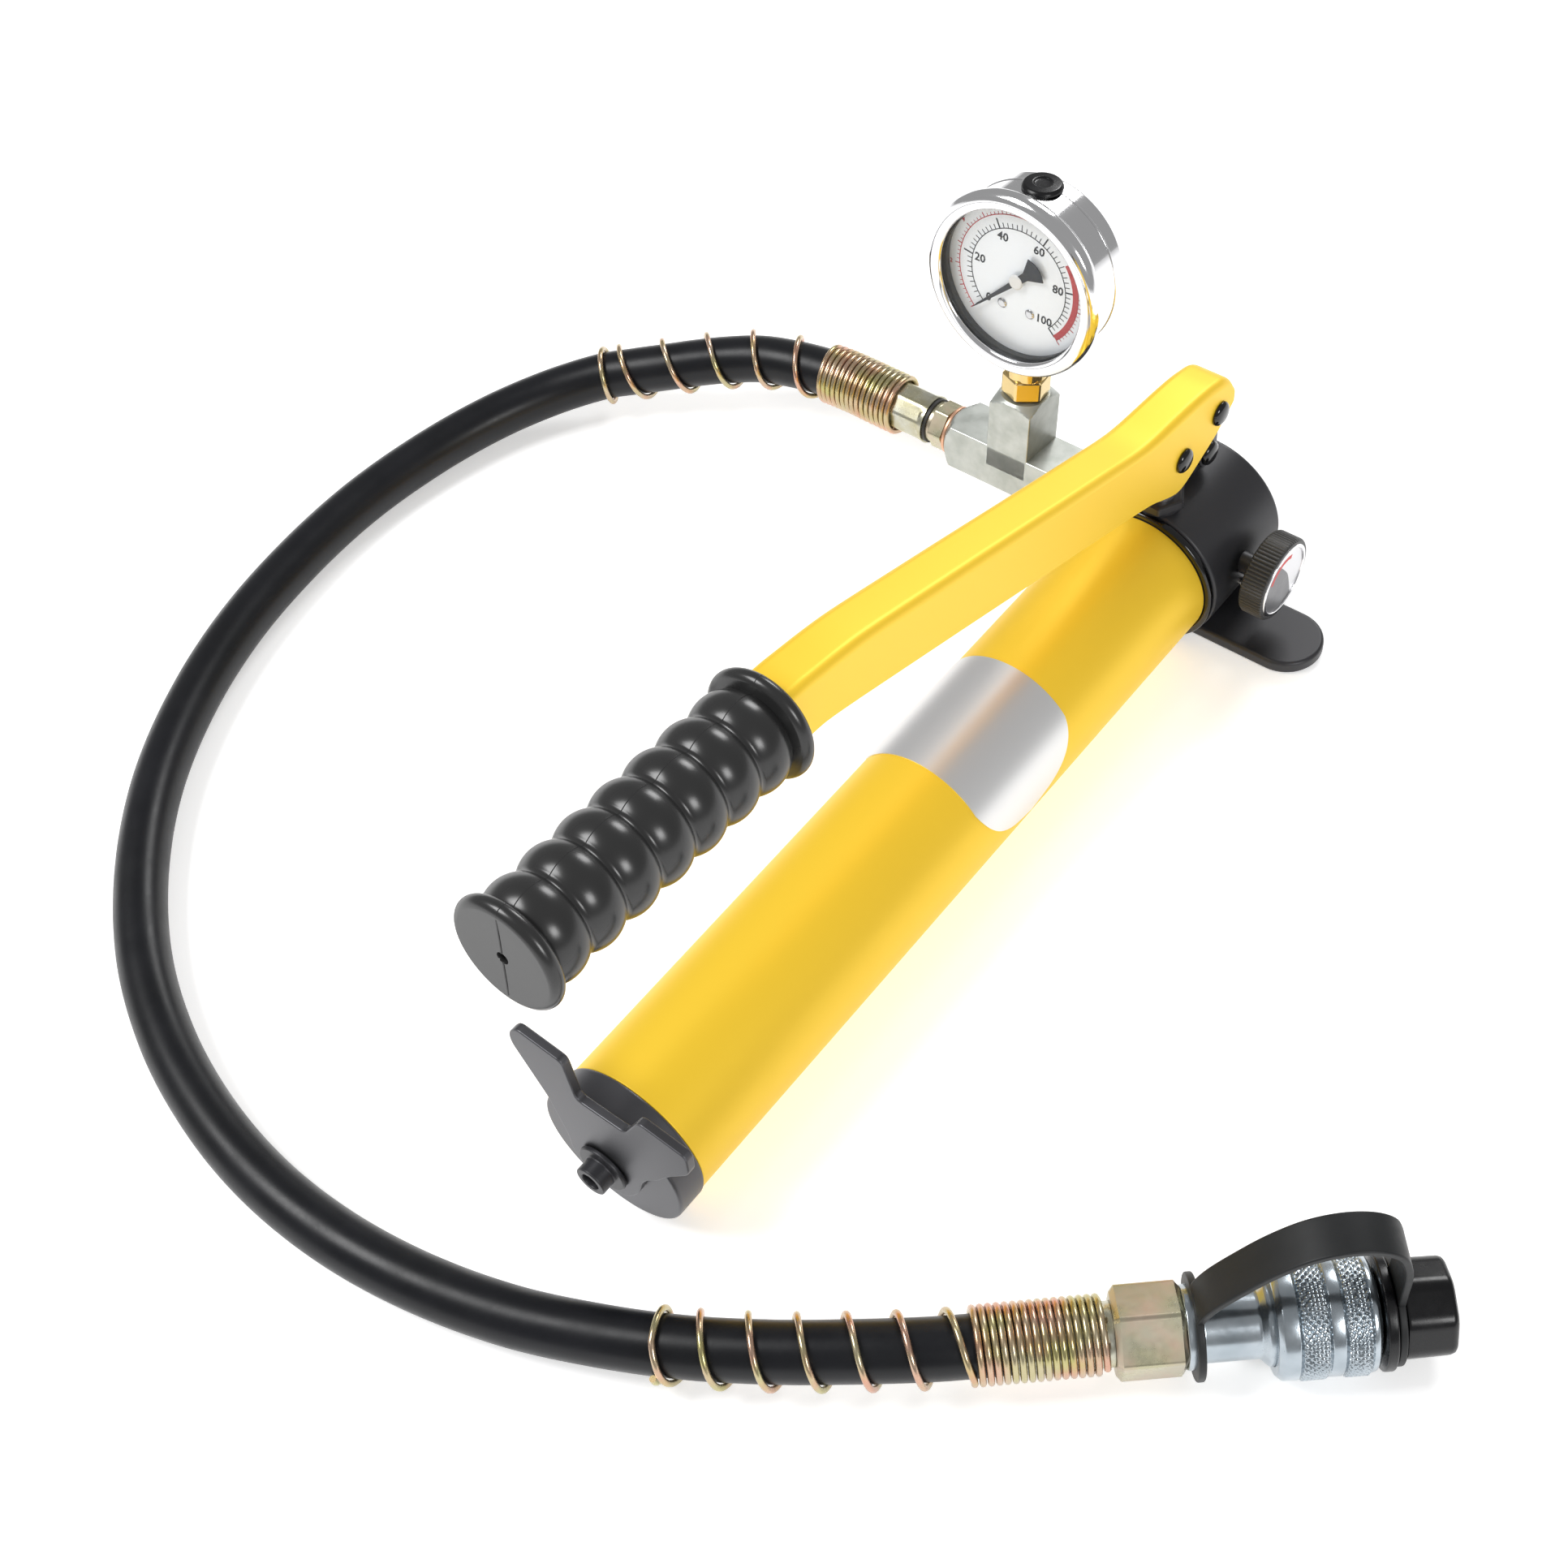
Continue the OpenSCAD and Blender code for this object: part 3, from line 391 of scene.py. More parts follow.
BRASS = Finish("brass", (0.62, 0.43, 0.15), metallic=1.0, roughness=0.28, second=(0.62, 0.50, 0.28),
               patch=0.004,
               grain=0.000006)
COPPER = Finish("copper", (0.75, 0.36, 0.22), metallic=1.0, roughness=0.32, grain=0.000005)
RUBBER = Finish("hose_rubber", (0.004, 0.0045, 0.006), roughness=0.36, rough_range=0.05,
                second=(0.006, 0.0065, 0.009),
                specular=0.3, ripple=0.00002, ripple_size=0.004, grain=0.000010, grain_size=0.0004)
SOFT_RUBBER = Finish("strap_rubber", (0.011, 0.012, 0.013), roughness=0.46, second=(0.017, 0.018, 0.019),
                     specular=0.3, grain=0.000012)
CAP_RUBBER = Finish("cap_rubber", (0.004, 0.004, 0.005), roughness=0.26, specular=0.35, grain=0.000008)
GRIP_RUBBER = Finish("grip_rubber", (0.003, 0.003, 0.0035), roughness=0.13, rough_range=0.03, specular=0.45,
                     ripple=0.00004, ripple_size=0.007, grain=0.000004)
KNOB_PLASTIC = Finish("knob_plastic", (0.006, 0.006, 0.0065), roughness=0.38, specular=0.25, grain=0.000008)
SEAL = Finish("seal_rubber", (0.02, 0.02, 0.02), roughness=0.5, grain=0.00001)
PTFE = Finish("ptfe", (0.75, 0.72, 0.66), roughness=0.5, grain=0.000006)
DIAL = Finish("dial_paint", (0.53, 0.62, 0.72), roughness=0.42, second=(0.50, 0.59, 0.70), patch=0.02,
              grain=0.000002)
INK = Finish("black_ink", (0.02, 0.022, 0.03), roughness=0.5, grain=0.000002)
RED_INK = Finish("red_ink", (0.55, 0.06, 0.07), roughness=0.5, grain=0.000002)
WHITE = Finish("white_plastic", (0.75, 0.75, 0.74), roughness=0.35, grain=0.000002)
GLASS = Finish("gauge_glass_clear", (0.30, 0.33, 0.35), roughness=0.03, rough_range=0.02, alpha=0.05)
FOIL = Finish("label_foil", (0.56, 0.56, 0.57), metallic=0.75, roughness=0.30, second=(0.66, 0.66, 0.67),
              lines=Grain.ALONG_X, grain=0.000003)
KNOB_FACE = KnobFace("knob_face", (0.20, 0.20, 0.21), metallic=0.6, roughness=0.35, grain=0.000003)


# ---------------------------------------------------------------- shapes


def rounded(points: Sequence[Point2], radius: float, steps: int = 5, closed: bool = False) -> list[Point2]:
    """Rounds an outline's corners.

    Args:
        points: corners.
        radius: corner radius, shrunk where a side is too short.
        steps: segments per corner.
        closed: rounds the first and last corner too.

    Returns:
        The outline with arcs.
    """
    count, made = len(points), []
    for i, corner in enumerate(points):
        if not closed and i in (0, count - 1):
            made.append(tuple(corner))
            continue
        p, a, b = Vector(corner), Vector(points[i - 1]), Vector(points[(i + 1) % count])
        to_a, to_b = (a - p), (b - p)
        cut = min(radius, to_a.length * 0.48, to_b.length * 0.48)
        if cut < 1e-4 or to_a.length < 1e-6 or to_b.length < 1e-6:
            made.append(tuple(corner))
            continue
        start, end = p + to_a.normalized() * cut, p + to_b.normalized() * cut
        for k in range(steps + 1):
            t = k / steps
            made.append(tuple(start * (1 - t) ** 2 + p * 2 * t * (1 - t) + end * t * t))
    return made


def smooth_line(points: Sequence[Vector], parts: int) -> list[Vector]:
    """A Catmull-Rom line through points.

    Args:
        points: places on the line.
        parts: pieces between two places.

    Returns:
        The finer line.
    """
    made = []
    for i in range(len(points) - 1):
        a, b = points[i], points[i + 1]
        before = points[i - 1] if i else a * 2 - b
        after = points[i + 2] if i + 2 < len(points) else b * 2 - a
        for k in range(parts):
            t = k / parts
            made.append(0.5 * ((2 * a) + (b - before) * t + (2 * before - 5 * a + 4 * b - after) * t * t
                               + (3 * a - before - 3 * b + after) * t ** 3))
    return made + [points[-1]]


class Shape:
    """A bmesh being built in millimetres in the row frame."""

    def __init__(self) -> None:
        """Starts empty."""
        self.bm = bmesh.new()

    def turn(self, profile: Sequence[Point2], where: Matrix, steps: int = 96) -> "Shape":
        """Spins a profile of (radius, height) about the frame's Z axis.

        Args:
            profile: points from one end of the axis to the other.
            where: frame of the axis.
            steps: segments round the axis.

        Returns:
            The shape itself.
        """
        part = bmesh.new()
        verts = [part.verts.new((r, 0.0, z)) for r, z in profile]
        edges = [part.edges.new(pair) for pair in zip(verts, verts[1:])]
        bmesh.ops.spin(part, geom=verts + edges, cent=(0, 0, 0), axis=(0, 0, 1), angle=math.tau,
                       steps=steps, use_merge=True)
        bmesh.ops.remove_doubles(part, verts=part.verts, dist=1e-4)
        bmesh.ops.recalc_face_normals(part, faces=part.faces)
        return self._merge(part, where)

    def ring(self, profile: Sequence[Point2], where: Matrix, steps: int = 96) -> "Shape":
        """Spins a closed profile that stays off the axis."""
        return self.turn([*profile, profile[0]], where, steps)

    def prism(self, outline: Sequence[Point2], low: float, high: float, where: Matrix, bevel: float = 0.0,
              segments: int = 3, all_edges: bool = False) -> "Shape":
        """Extrudes a flat outline along the frame's Z axis and rounds its rims.

        Args:
            outline: corners in the frame's X and Y.
            low: start height.
            high: end height.
            where: the frame.
            bevel: rim radius.
            segments: bevel segments.
            all_edges: bevels sharp upright edges too.

        Returns:
            The shape itself.
        """
        part = bmesh.new()
        face = part.faces.new([part.verts.new((x, y, low)) for x, y in outline])
        moved = bmesh.ops.extrude_face_region(part, geom=[face])["geom"]
        bmesh.ops.translate(part, vec=(0, 0, high - low),
                            verts=[v for v in moved if isinstance(v, bmesh.types.BMVert)])
        bmesh.ops.recalc_face_normals(part, faces=part.faces)
        if bevel:
            rim = [e for e in part.edges if abs(e.verts[0].co.z - e.verts[1].co.z) < 1e-6
                   or (all_edges and e.calc_face_angle(0.0) > 0.5)]
            bmesh.ops.bevel(part, geom=rim, offset=bevel, offset_type="OFFSET", segments=segments,
                            profile=0.5,
                            affect="EDGES", material=-1)
        return self._merge(part, where)

    def loft(self, rings: Sequence[Sequence[Vector]], cap: bool = True, loop: bool = False) -> "Shape":
        """Skins rings of points in the row frame.

        Args:
            rings: rings with the same number of points.
            cap: closes both ends.
            loop: joins the last ring to the first.

        Returns:
            The shape itself.
        """
        part = bmesh.new()
        rows = [[part.verts.new(p) for p in points] for points in rings]
        pairs = list(zip(rows, rows[1:])) + ([(rows[-1], rows[0])] if loop else [])
        count = len(rows[0])
        for one, two in pairs:
            for k in range(count):
                part.faces.new((one[k], one[(k + 1) % count], two[(k + 1) % count], two[k]))
        if cap and not loop:
            part.faces.new(rows[0][::-1])
            part.faces.new(rows[-1])
        bmesh.ops.recalc_face_normals(part, faces=part.faces)
        return self._merge(part, Matrix.Identity(4))

    def sweep(self, line: Sequence[Vector], radius: Callable[[float], float] | float,
              sides: int) -> "Shape":
        """A round tube along a line, with frames carried along it.

        Args:
            line: points of the middle line.
            radius: radius, or a function of the share of the way along.
            sides: points round the tube.

        Returns:
            The shape itself.
        """
        rings, last = len(line), len(line) - 1
        side = None
        rows = []
        for i, p in enumerate(line):
            ahead = (line[min(i + 1, last)] - line[max(i - 1, 0)]).normalized()
            side = ahead.orthogonal() if side is None else side
            side = (side - ahead * side.dot(ahead)).normalized()
            up = ahead.cross(side)
            r = radius(i / (rings - 1)) if callable(radius) else radius
            rows.append([p + (side * math.cos(a) + up * math.sin(a)) * r
                         for a in (math.tau * k / sides for k in range(sides))])
        return self.loft(rows)

    def cut_below(self, height: float) -> None:
        """Cuts the shape off flat at a height in the row frame and closes it."""
        geometry = self.bm.verts[:] + self.bm.edges[:] + self.bm.faces[:]
        bmesh.ops.bisect_plane(self.bm, geom=geometry, plane_co=(0, 0, height), plane_no=(0, 0, -1),
                               clear_outer=True)
        bmesh.ops.holes_fill(self.bm, edges=[e for e in self.bm.edges if e.is_boundary])
        bmesh.ops.recalc_face_normals(self.bm, faces=self.bm.faces)

    def _merge(self, part: bmesh.types.BMesh, where: Matrix) -> "Shape":
        """Copies a part into this shape at a frame."""
        bmesh.ops.transform(part, matrix=where, verts=part.verts)
        mesh = bpy.data.meshes.new("part")
        part.to_mesh(mesh)
        part.free()
        self.bm.from_mesh(mesh)
        bpy.data.meshes.remove(mesh)
        return self

    def piece(self, name: str, finish: Finish, body: Body | None, replaces: Sequence[str] = (),
              slot: str = "",
              sharp: float = 38.0, weighted: bool = True) -> bpy.types.Object:
        """Turns the shape into an object that rides on a body.

        Args:
            name: piece name.
            finish: its finish.
            body: the CAD body that carries it, or None for a piece that rides on no body.
            replaces: CAD nodes that it stands for.
            slot: not used.
            sharp: edges that fold more than this many degrees stay sharp.
            weighted: adds weighted normals, for flat faces between bevels.

        Returns:
            The object.
        """
        bmesh.ops.scale(self.bm, vec=(MM, MM, MM), verts=self.bm.verts)
        limit = math.radians(sharp)
        for edge in self.bm.edges:
            edge.smooth = edge.calc_face_angle(0.0) < limit
        for face in self.bm.faces:
            face.smooth = True
        mesh = bpy.data.meshes.new(name)
        self.bm.to_mesh(mesh)
        self.bm.free()
        thing = bpy.data.objects.new(name, mesh)
        bpy.context.scene.collection.objects.link(thing)
        mesh.materials.append(finish.build())
        if weighted:
            modifier = thing.modifiers.new("normals", "WEIGHTED_NORMAL")
            modifier.keep_sharp = True
        if body is not None:
            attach(thing, body.value)
        if replaces:
            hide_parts(*replaces)
        LOG.info("%s: %d faces", name, len(mesh.polygons))
        return thing


def shift(x: float = 0.0, y: float = 0.0, z: float = 0.0) -> Matrix:
    """A move in millimetres."""
    return Matrix.Translation((x, y, z))


def spun(degrees: float, axis: str) -> Matrix:
    """A turn about a named axis."""
    return Matrix.Rotation(math.radians(degrees), 4, axis)


def along_x(x: float = 0.0, y: float = 0.0, z: float = 25.5) -> Matrix:
    """A frame whose Z runs along +X."""
    return shift(x, y, z) @ spun(90, "Y")


def along_y(x: float, z: float, y: float = 0.0) -> Matrix:
    """A frame whose Z runs along +Y."""
    return shift(x, y, z) @ spun(-90, "X")


def side_view(low: float = 0.0) -> Matrix:
    """A frame whose X and Y are the row's X and Z, and whose Z runs along -Y."""
    return shift(0, low, 0) @ spun(90, "X")


def polygon(sides: int, radius: float, turn: float = 0.0) -> list[Point2]:
    """Corners of a regular polygon."""
    return [(radius * math.cos(a), radius * math.sin(a))
            for a in (math.tau * k / sides + math.radians(turn) for k in range(sides))]


def hex_bar(shape: Shape, across: float, low: float, high: float, where: Matrix, turn: float = 0.0,
            sides: int = 6, chamfer: float = 0.6) -> Shape:
    """A hexagon bar whose corners are turned off at both ends.

    Args:
        shape: the shape to add to.
        across: corner radius.
        low: start height.
        high: end height.
        where: the frame.
        turn: turn about the bar's axis in degrees.
        sides: number of flats.
        chamfer: length of the turned-off ends.

    Returns:
        The shape.
    """
    corners = rounded(polygon(sides, across, turn), across * 0.08, 3, True)
    flat = across * math.cos(math.pi / sides)
    rings = []
    for z, limit in ((low, flat * 0.97), (low + chamfer * 0.55, flat * 1.05), (low + chamfer, across),
                     (high - chamfer, across), (high - chamfer * 0.55, flat * 1.05), (high, flat * 0.97)):
        rings.append([where @ Vector((*(Vector(c) * min(1.0, limit / Vector(c).length)),
                                      z)) for c in corners])
    return shape.loft(rings)


# ---------------------------------------------------------------- reservoir


@dataclass
class Reservoir:
    """Tube, label and tail end."""

    tube_r: float = 25.0
    axis_z: float = 25.5
    tail: float = -286.5
    head: float = -19.5
    cap_l: float = 10.7
    cap_r: float = 25.5
    label_mid: float = -121.5
    label_w: float = 49.0

    def build(self) -> None:
        """Builds and dresses every piece."""
        at = along_x()
        tube = rounded([(22.5, self.tail), (self.tube_r, self.tail), (self.tube_r, self.head),
                        (22.5, self.head)], 0.35,
                       4, True)
        Shape().ring(tube, at, 160).piece("tube_enamelled", YELLOW, Body.PUMP, ["reservoir_tube"],
                                          "yellow_enamel")
        self._label()
        self._tail()

    def _label(self) -> None:
        """Thin curved plate with a rounded end on each side of the tube."""
        rows, columns = 70, 44
        low_z = self.axis_z + self.tube_r * 0.84
        radius = self.label_w / 2 + 0.9
        part = bmesh.new()
        grid = []
        for i in range(rows + 1):
            angle = math.radians(-12 + 204 * i / rows)
            z = self.axis_z + self.tube_r * math.sin(angle)
            half = self.label_w / 2
            if z < low_z:
                half = min(half, math.sqrt(max(radius ** 2 - (low_z - z) ** 2, 0.0)))
            row = []
            for k in range(columns + 1):
                x = self.label_mid + half * (2 * k / columns - 1)
                r = self.tube_r + 0.02
                row.append(part.verts.new((x, -r * math.cos(angle), self.axis_z + r * math.sin(angle))))
            grid.append(row)
        for one, two in zip(grid, grid[1:]):
            for k in range(columns):
                if (one[k].co - one[k + 1].co).length + (two[k].co - two[k + 1].co).length > 1e-3:
                    part.faces.new((one[k], one[k + 1], two[k + 1], two[k]))
        bmesh.ops.remove_doubles(part, verts=part.verts, dist=1e-3)
        bmesh.ops.recalc_face_normals(part, faces=part.faces)
        bmesh.ops.solidify(part, geom=part.faces[:], thickness=-0.3)
        bmesh.ops.recalc_face_normals(part, faces=part.faces)
        shape = Shape()
        shape._merge(part, Matrix.Identity(4))
        shape.piece("label_plate", FOIL, Body.PUMP, ["label"], "label_foil", weighted=False)

    def _tail(self) -> None:
        """Cap, hook and sleeve nut."""
        cap_x, at = self.tail - self.cap_l, along_x()
        cap = rounded([(4.05, cap_x), (self.cap_r, cap_x), (self.cap_r, self.tail), (22.3, self.tail),
                       (22.3, self.tail + 10), (4.05, self.tail + 10)], 1.1, 5)
        Shape().ring(cap, at, 128).piece("cap_turned", DARK_STEEL, Body.PUMP, ["tail_cap"], "dark_steel")
        outline = [(-24, 51), (-27.5, 46), (-27.5, 41), (-18, 21), (-13.5, 4), (-13.4, -3), (-11, -8.6),
                   (-6, -12.3),
                   (0, -13.6), (6.2, -12.1), (10.3, -7), (12.5, -2.5), (14.4, 4.2), (17.6, 9.6), (22, 14),
                   (27, 21.5), (34.5, 30), (36, 33), (36, 41), (19, 43), (12.5, 31), (-5, 31.5), (-7, 49)]
        where = shift(cap_x - 0.3, 0, self.axis_z) @ spun(-90, "Z") @ spun(90, "X")
        smooth = rounded(outline, 2.2, 4, True)
        Shape().prism(smooth, 0, 3.0, where, 0.5, 3).piece("hook_plate", DARK_STEEL, Body.HOOK,
                                                           ["tail_hook"],
                                                           "dark_steel")
        back = cap_x - 3
        nut = rounded([(0, back - 3), (3.0, back - 3), (3.0, back - 7), (5.2, back - 7), (5.2, back - 2.1),
                       (8.5, back - 2.1), (8.5, back - 0.6), (5.95, back - 0.6), (5.95, cap_x),
                       (0, cap_x)], 0.5, 4)
        Shape().turn(nut, at, 64).piece("boss_nut", BLACK_ENAMEL, Body.PUMP, ["tie_nut"], "black_enamel")


# ---------------------------------------------------------------- pump head


@dataclass
class PumpHead:
    """Head, collar, gland, plunger and release valve."""

    radius: float = 27.8
    axis_z: float = 25.5
    left: float = -16.9
    right: float = 25.0
    top: float = 53.3
    plunger_x: float = -10.6
    pin_z: float = 75.5
    knob: tuple[float, float, float] = (1.5, -43.0, 29.0)
    ribs: int = 66

    def build(self) -> None:
        """Builds and dresses every piece."""
        self._body()
        self._plunger()
        self._valve()

    def _body(self) -> None:
        """Turned head with a flat underside, foot plate, lug and collar ring."""
        shape = Shape()
        profile = rounded([(0, self.left), (self.radius, self.left), (self.radius, self.right),
                           (0, self.right)], 1.6, 6)
        shape.turn(profile, along_x(), 160)
        shape.cut_below(0.0)
        shape.turn([(0, -29.4), (22.2, -29.4), (22.2, -19.4), (25.0, -19.4), (25.0, -16.8), (0, -16.8)],
                   along_x(), 96)
        shape.prism(self._foot_outline(), 0.02, 5.0, Matrix.Identity(4), 1.3, 4)
        lug = rounded([(5.7, 45), (15.3, 45), (15.3, 60), (14.6, 63.4), (12.2, 65.6), (8.8, 65.6),
                       (6.4, 63.4),
                       (5.7, 60)], 1.4, 4, True)
        shape.prism(lug, -3.0, 3.0, side_view(), 0.4, 2)
        shape.piece("head_casting", BLACK_ENAMEL, Body.PUMP, ["pump_head"], "black_enamel")
        collar = rounded([(25.0, -19.5), (27.4, -19.5), (27.4, -16.9), (25.0, -16.9)], 0.9, 5, True)
        ring = Shape().ring(collar, along_x(), 160)
        ring.cut_below(0.3)
        ring.piece("collar_ring", GLOSS_BLACK, Body.PUMP, ["head_collar"], "black_enamel")
        Shape().turn(rounded([(0, 8), (3.35, 8), (3.35, 24.6), (1.6, 24.6), (1.6, 22.5), (0, 22.5)], 0.3,
                             3),
                     along_x(0, 0, 28.5), 48).piece("gallery_screw", BLACK_ENAMEL, Body.PUMP,
                                                    ["outlet_plug"],
                                                    "black_enamel")

    def _foot_outline(self) -> list[Point2]:
        """Foot plate outline: a bar with round ends."""
        made = []
        for centre, start in ((47.0, 0), (-47.0, 180)):
            made += [(13 * math.cos(math.radians(start + 180 * k / 28)),
                      centre + 13 * math.sin(math.radians(start + 180 * k / 28)))
                     for k in range(29)]
        return made

    def _plunger(self) -> None:
        """Gland nut and the polished plunger with its flat eye."""
        gland = Shape()
        at = shift(self.plunger_x, 0, 0)
        hex_bar(gland, 9.4, self.top + 0.6, self.top + 4.6, at, 30)
        gland.ring([(6.05, 45.3), (7.6, 45.3), (7.6, self.top + 0.7), (6.05, self.top + 0.7)], at, 64)
        gland.piece("gland_hex", BLACK_ENAMEL, Body.PUMP, ["gland_nut"], "black_enamel")
        rod = Shape().turn(rounded([(0, 17.3), (6.0, 17.3), (6.0, 61.5), (0, 61.5)], 0.6, 4), at, 72)
        eye = [(self.plunger_x + 6.35 * math.cos(a), self.pin_z + 6.35 * math.sin(a))
               for a in (math.radians(180 - 180 * k / 24) for k in range(25))]
        eye += [(self.plunger_x + 6.0, 61.3), (self.plunger_x - 6.0, 61.3)]
        rod.prism(eye, -4.0, 4.0, side_view(), 0.5, 3)
        rod.piece("plunger_ground", BRIGHT_STEEL, Body.PLUNGER, ["plunger"], "bright_steel")

    def _valve(self) -> None:
        """Ribbed knob, its ring and face, stem and stop pin."""
        x, face, z = self.knob
        at = along_y(x, z)
        rings = []
        count = self.ribs * 6
        for y, shrink in ((face + 9, 0.9), (face + 8.6, 0.35), (face + 8.0, 0.0), (face + 1.0, 0.0),
                          (face + 0.4, 0.3),
                          (face, 0.8)):
            ring = []
            for k in range(count):
                wave = 0.5 + 0.5 * math.cos(math.tau * k / 6)
                r = min(15.0 - shrink, 14.45 + 0.55 * wave ** 0.7)
                a = math.tau * k / count
                ring.append(Vector((x + r * math.cos(a), y, z + r * math.sin(a))))
            rings.append(ring)
        knob = Shape().loft(rings, cap=False)
        knob.turn(rounded([(13.4, face + 1.0), (13.4, face), (14.25, face)], 0.3, 3), at, 96)
        knob.turn([(13.4, face + 1), (4.05, face + 1)], at, 96)
        knob.turn(rounded([(14.1, face + 9), (8.0, face + 9), (7.0, face + 10.2), (4.05, face + 10.2)],
                          0.6, 4), at, 96)
        knob.piece("knob_ribbed", KNOB_PLASTIC, Body.VALVE, ["release_knob"], "knob_plastic", 30)
        ring = rounded([(12.0, face + 0.9), (12.0, face - 0.4), (13.4, face - 0.4), (13.4, face + 0.9)],
                       0.5, 5, True)
        Shape().ring(ring, at, 96).piece("knob_bright_ring", POLISHED, Body.VALVE, ["knob_ring"],
                                         "polished_steel")
        Shape().turn(rounded([(0, face + 0.1), (12.0, face + 0.2), (12.0, face + 1), (0, face + 1)], 0.2,
                             3), at,
                     96).piece("knob_face_disc", KNOB_FACE, Body.VALVE, ["knob_disc"], "knob_foil")
        stem = rounded([(0, face + 2), (3.95, face + 2), (3.95, -16.0), (3.95, -12.4), (0, -12.4)], 0.2, 3)
        Shape().turn(stem, at, 48).piece("stem_turned", BLACK_ENAMEL, Body.VALVE, ["release_stem"],
                                         "black_enamel")
        pin = rounded([(0, -32.3), (1.5, -32.3), (1.5, -19.8), (0, -19.8)], 0.4, 4)
        Shape().turn(pin, along_y(x, 19.5), 40).piece("stop_dowel", BRIGHT_STEEL, Body.PUMP, ["stop_pin"],
                                                      "bright_steel")


# ---------------------------------------------------------------- handle


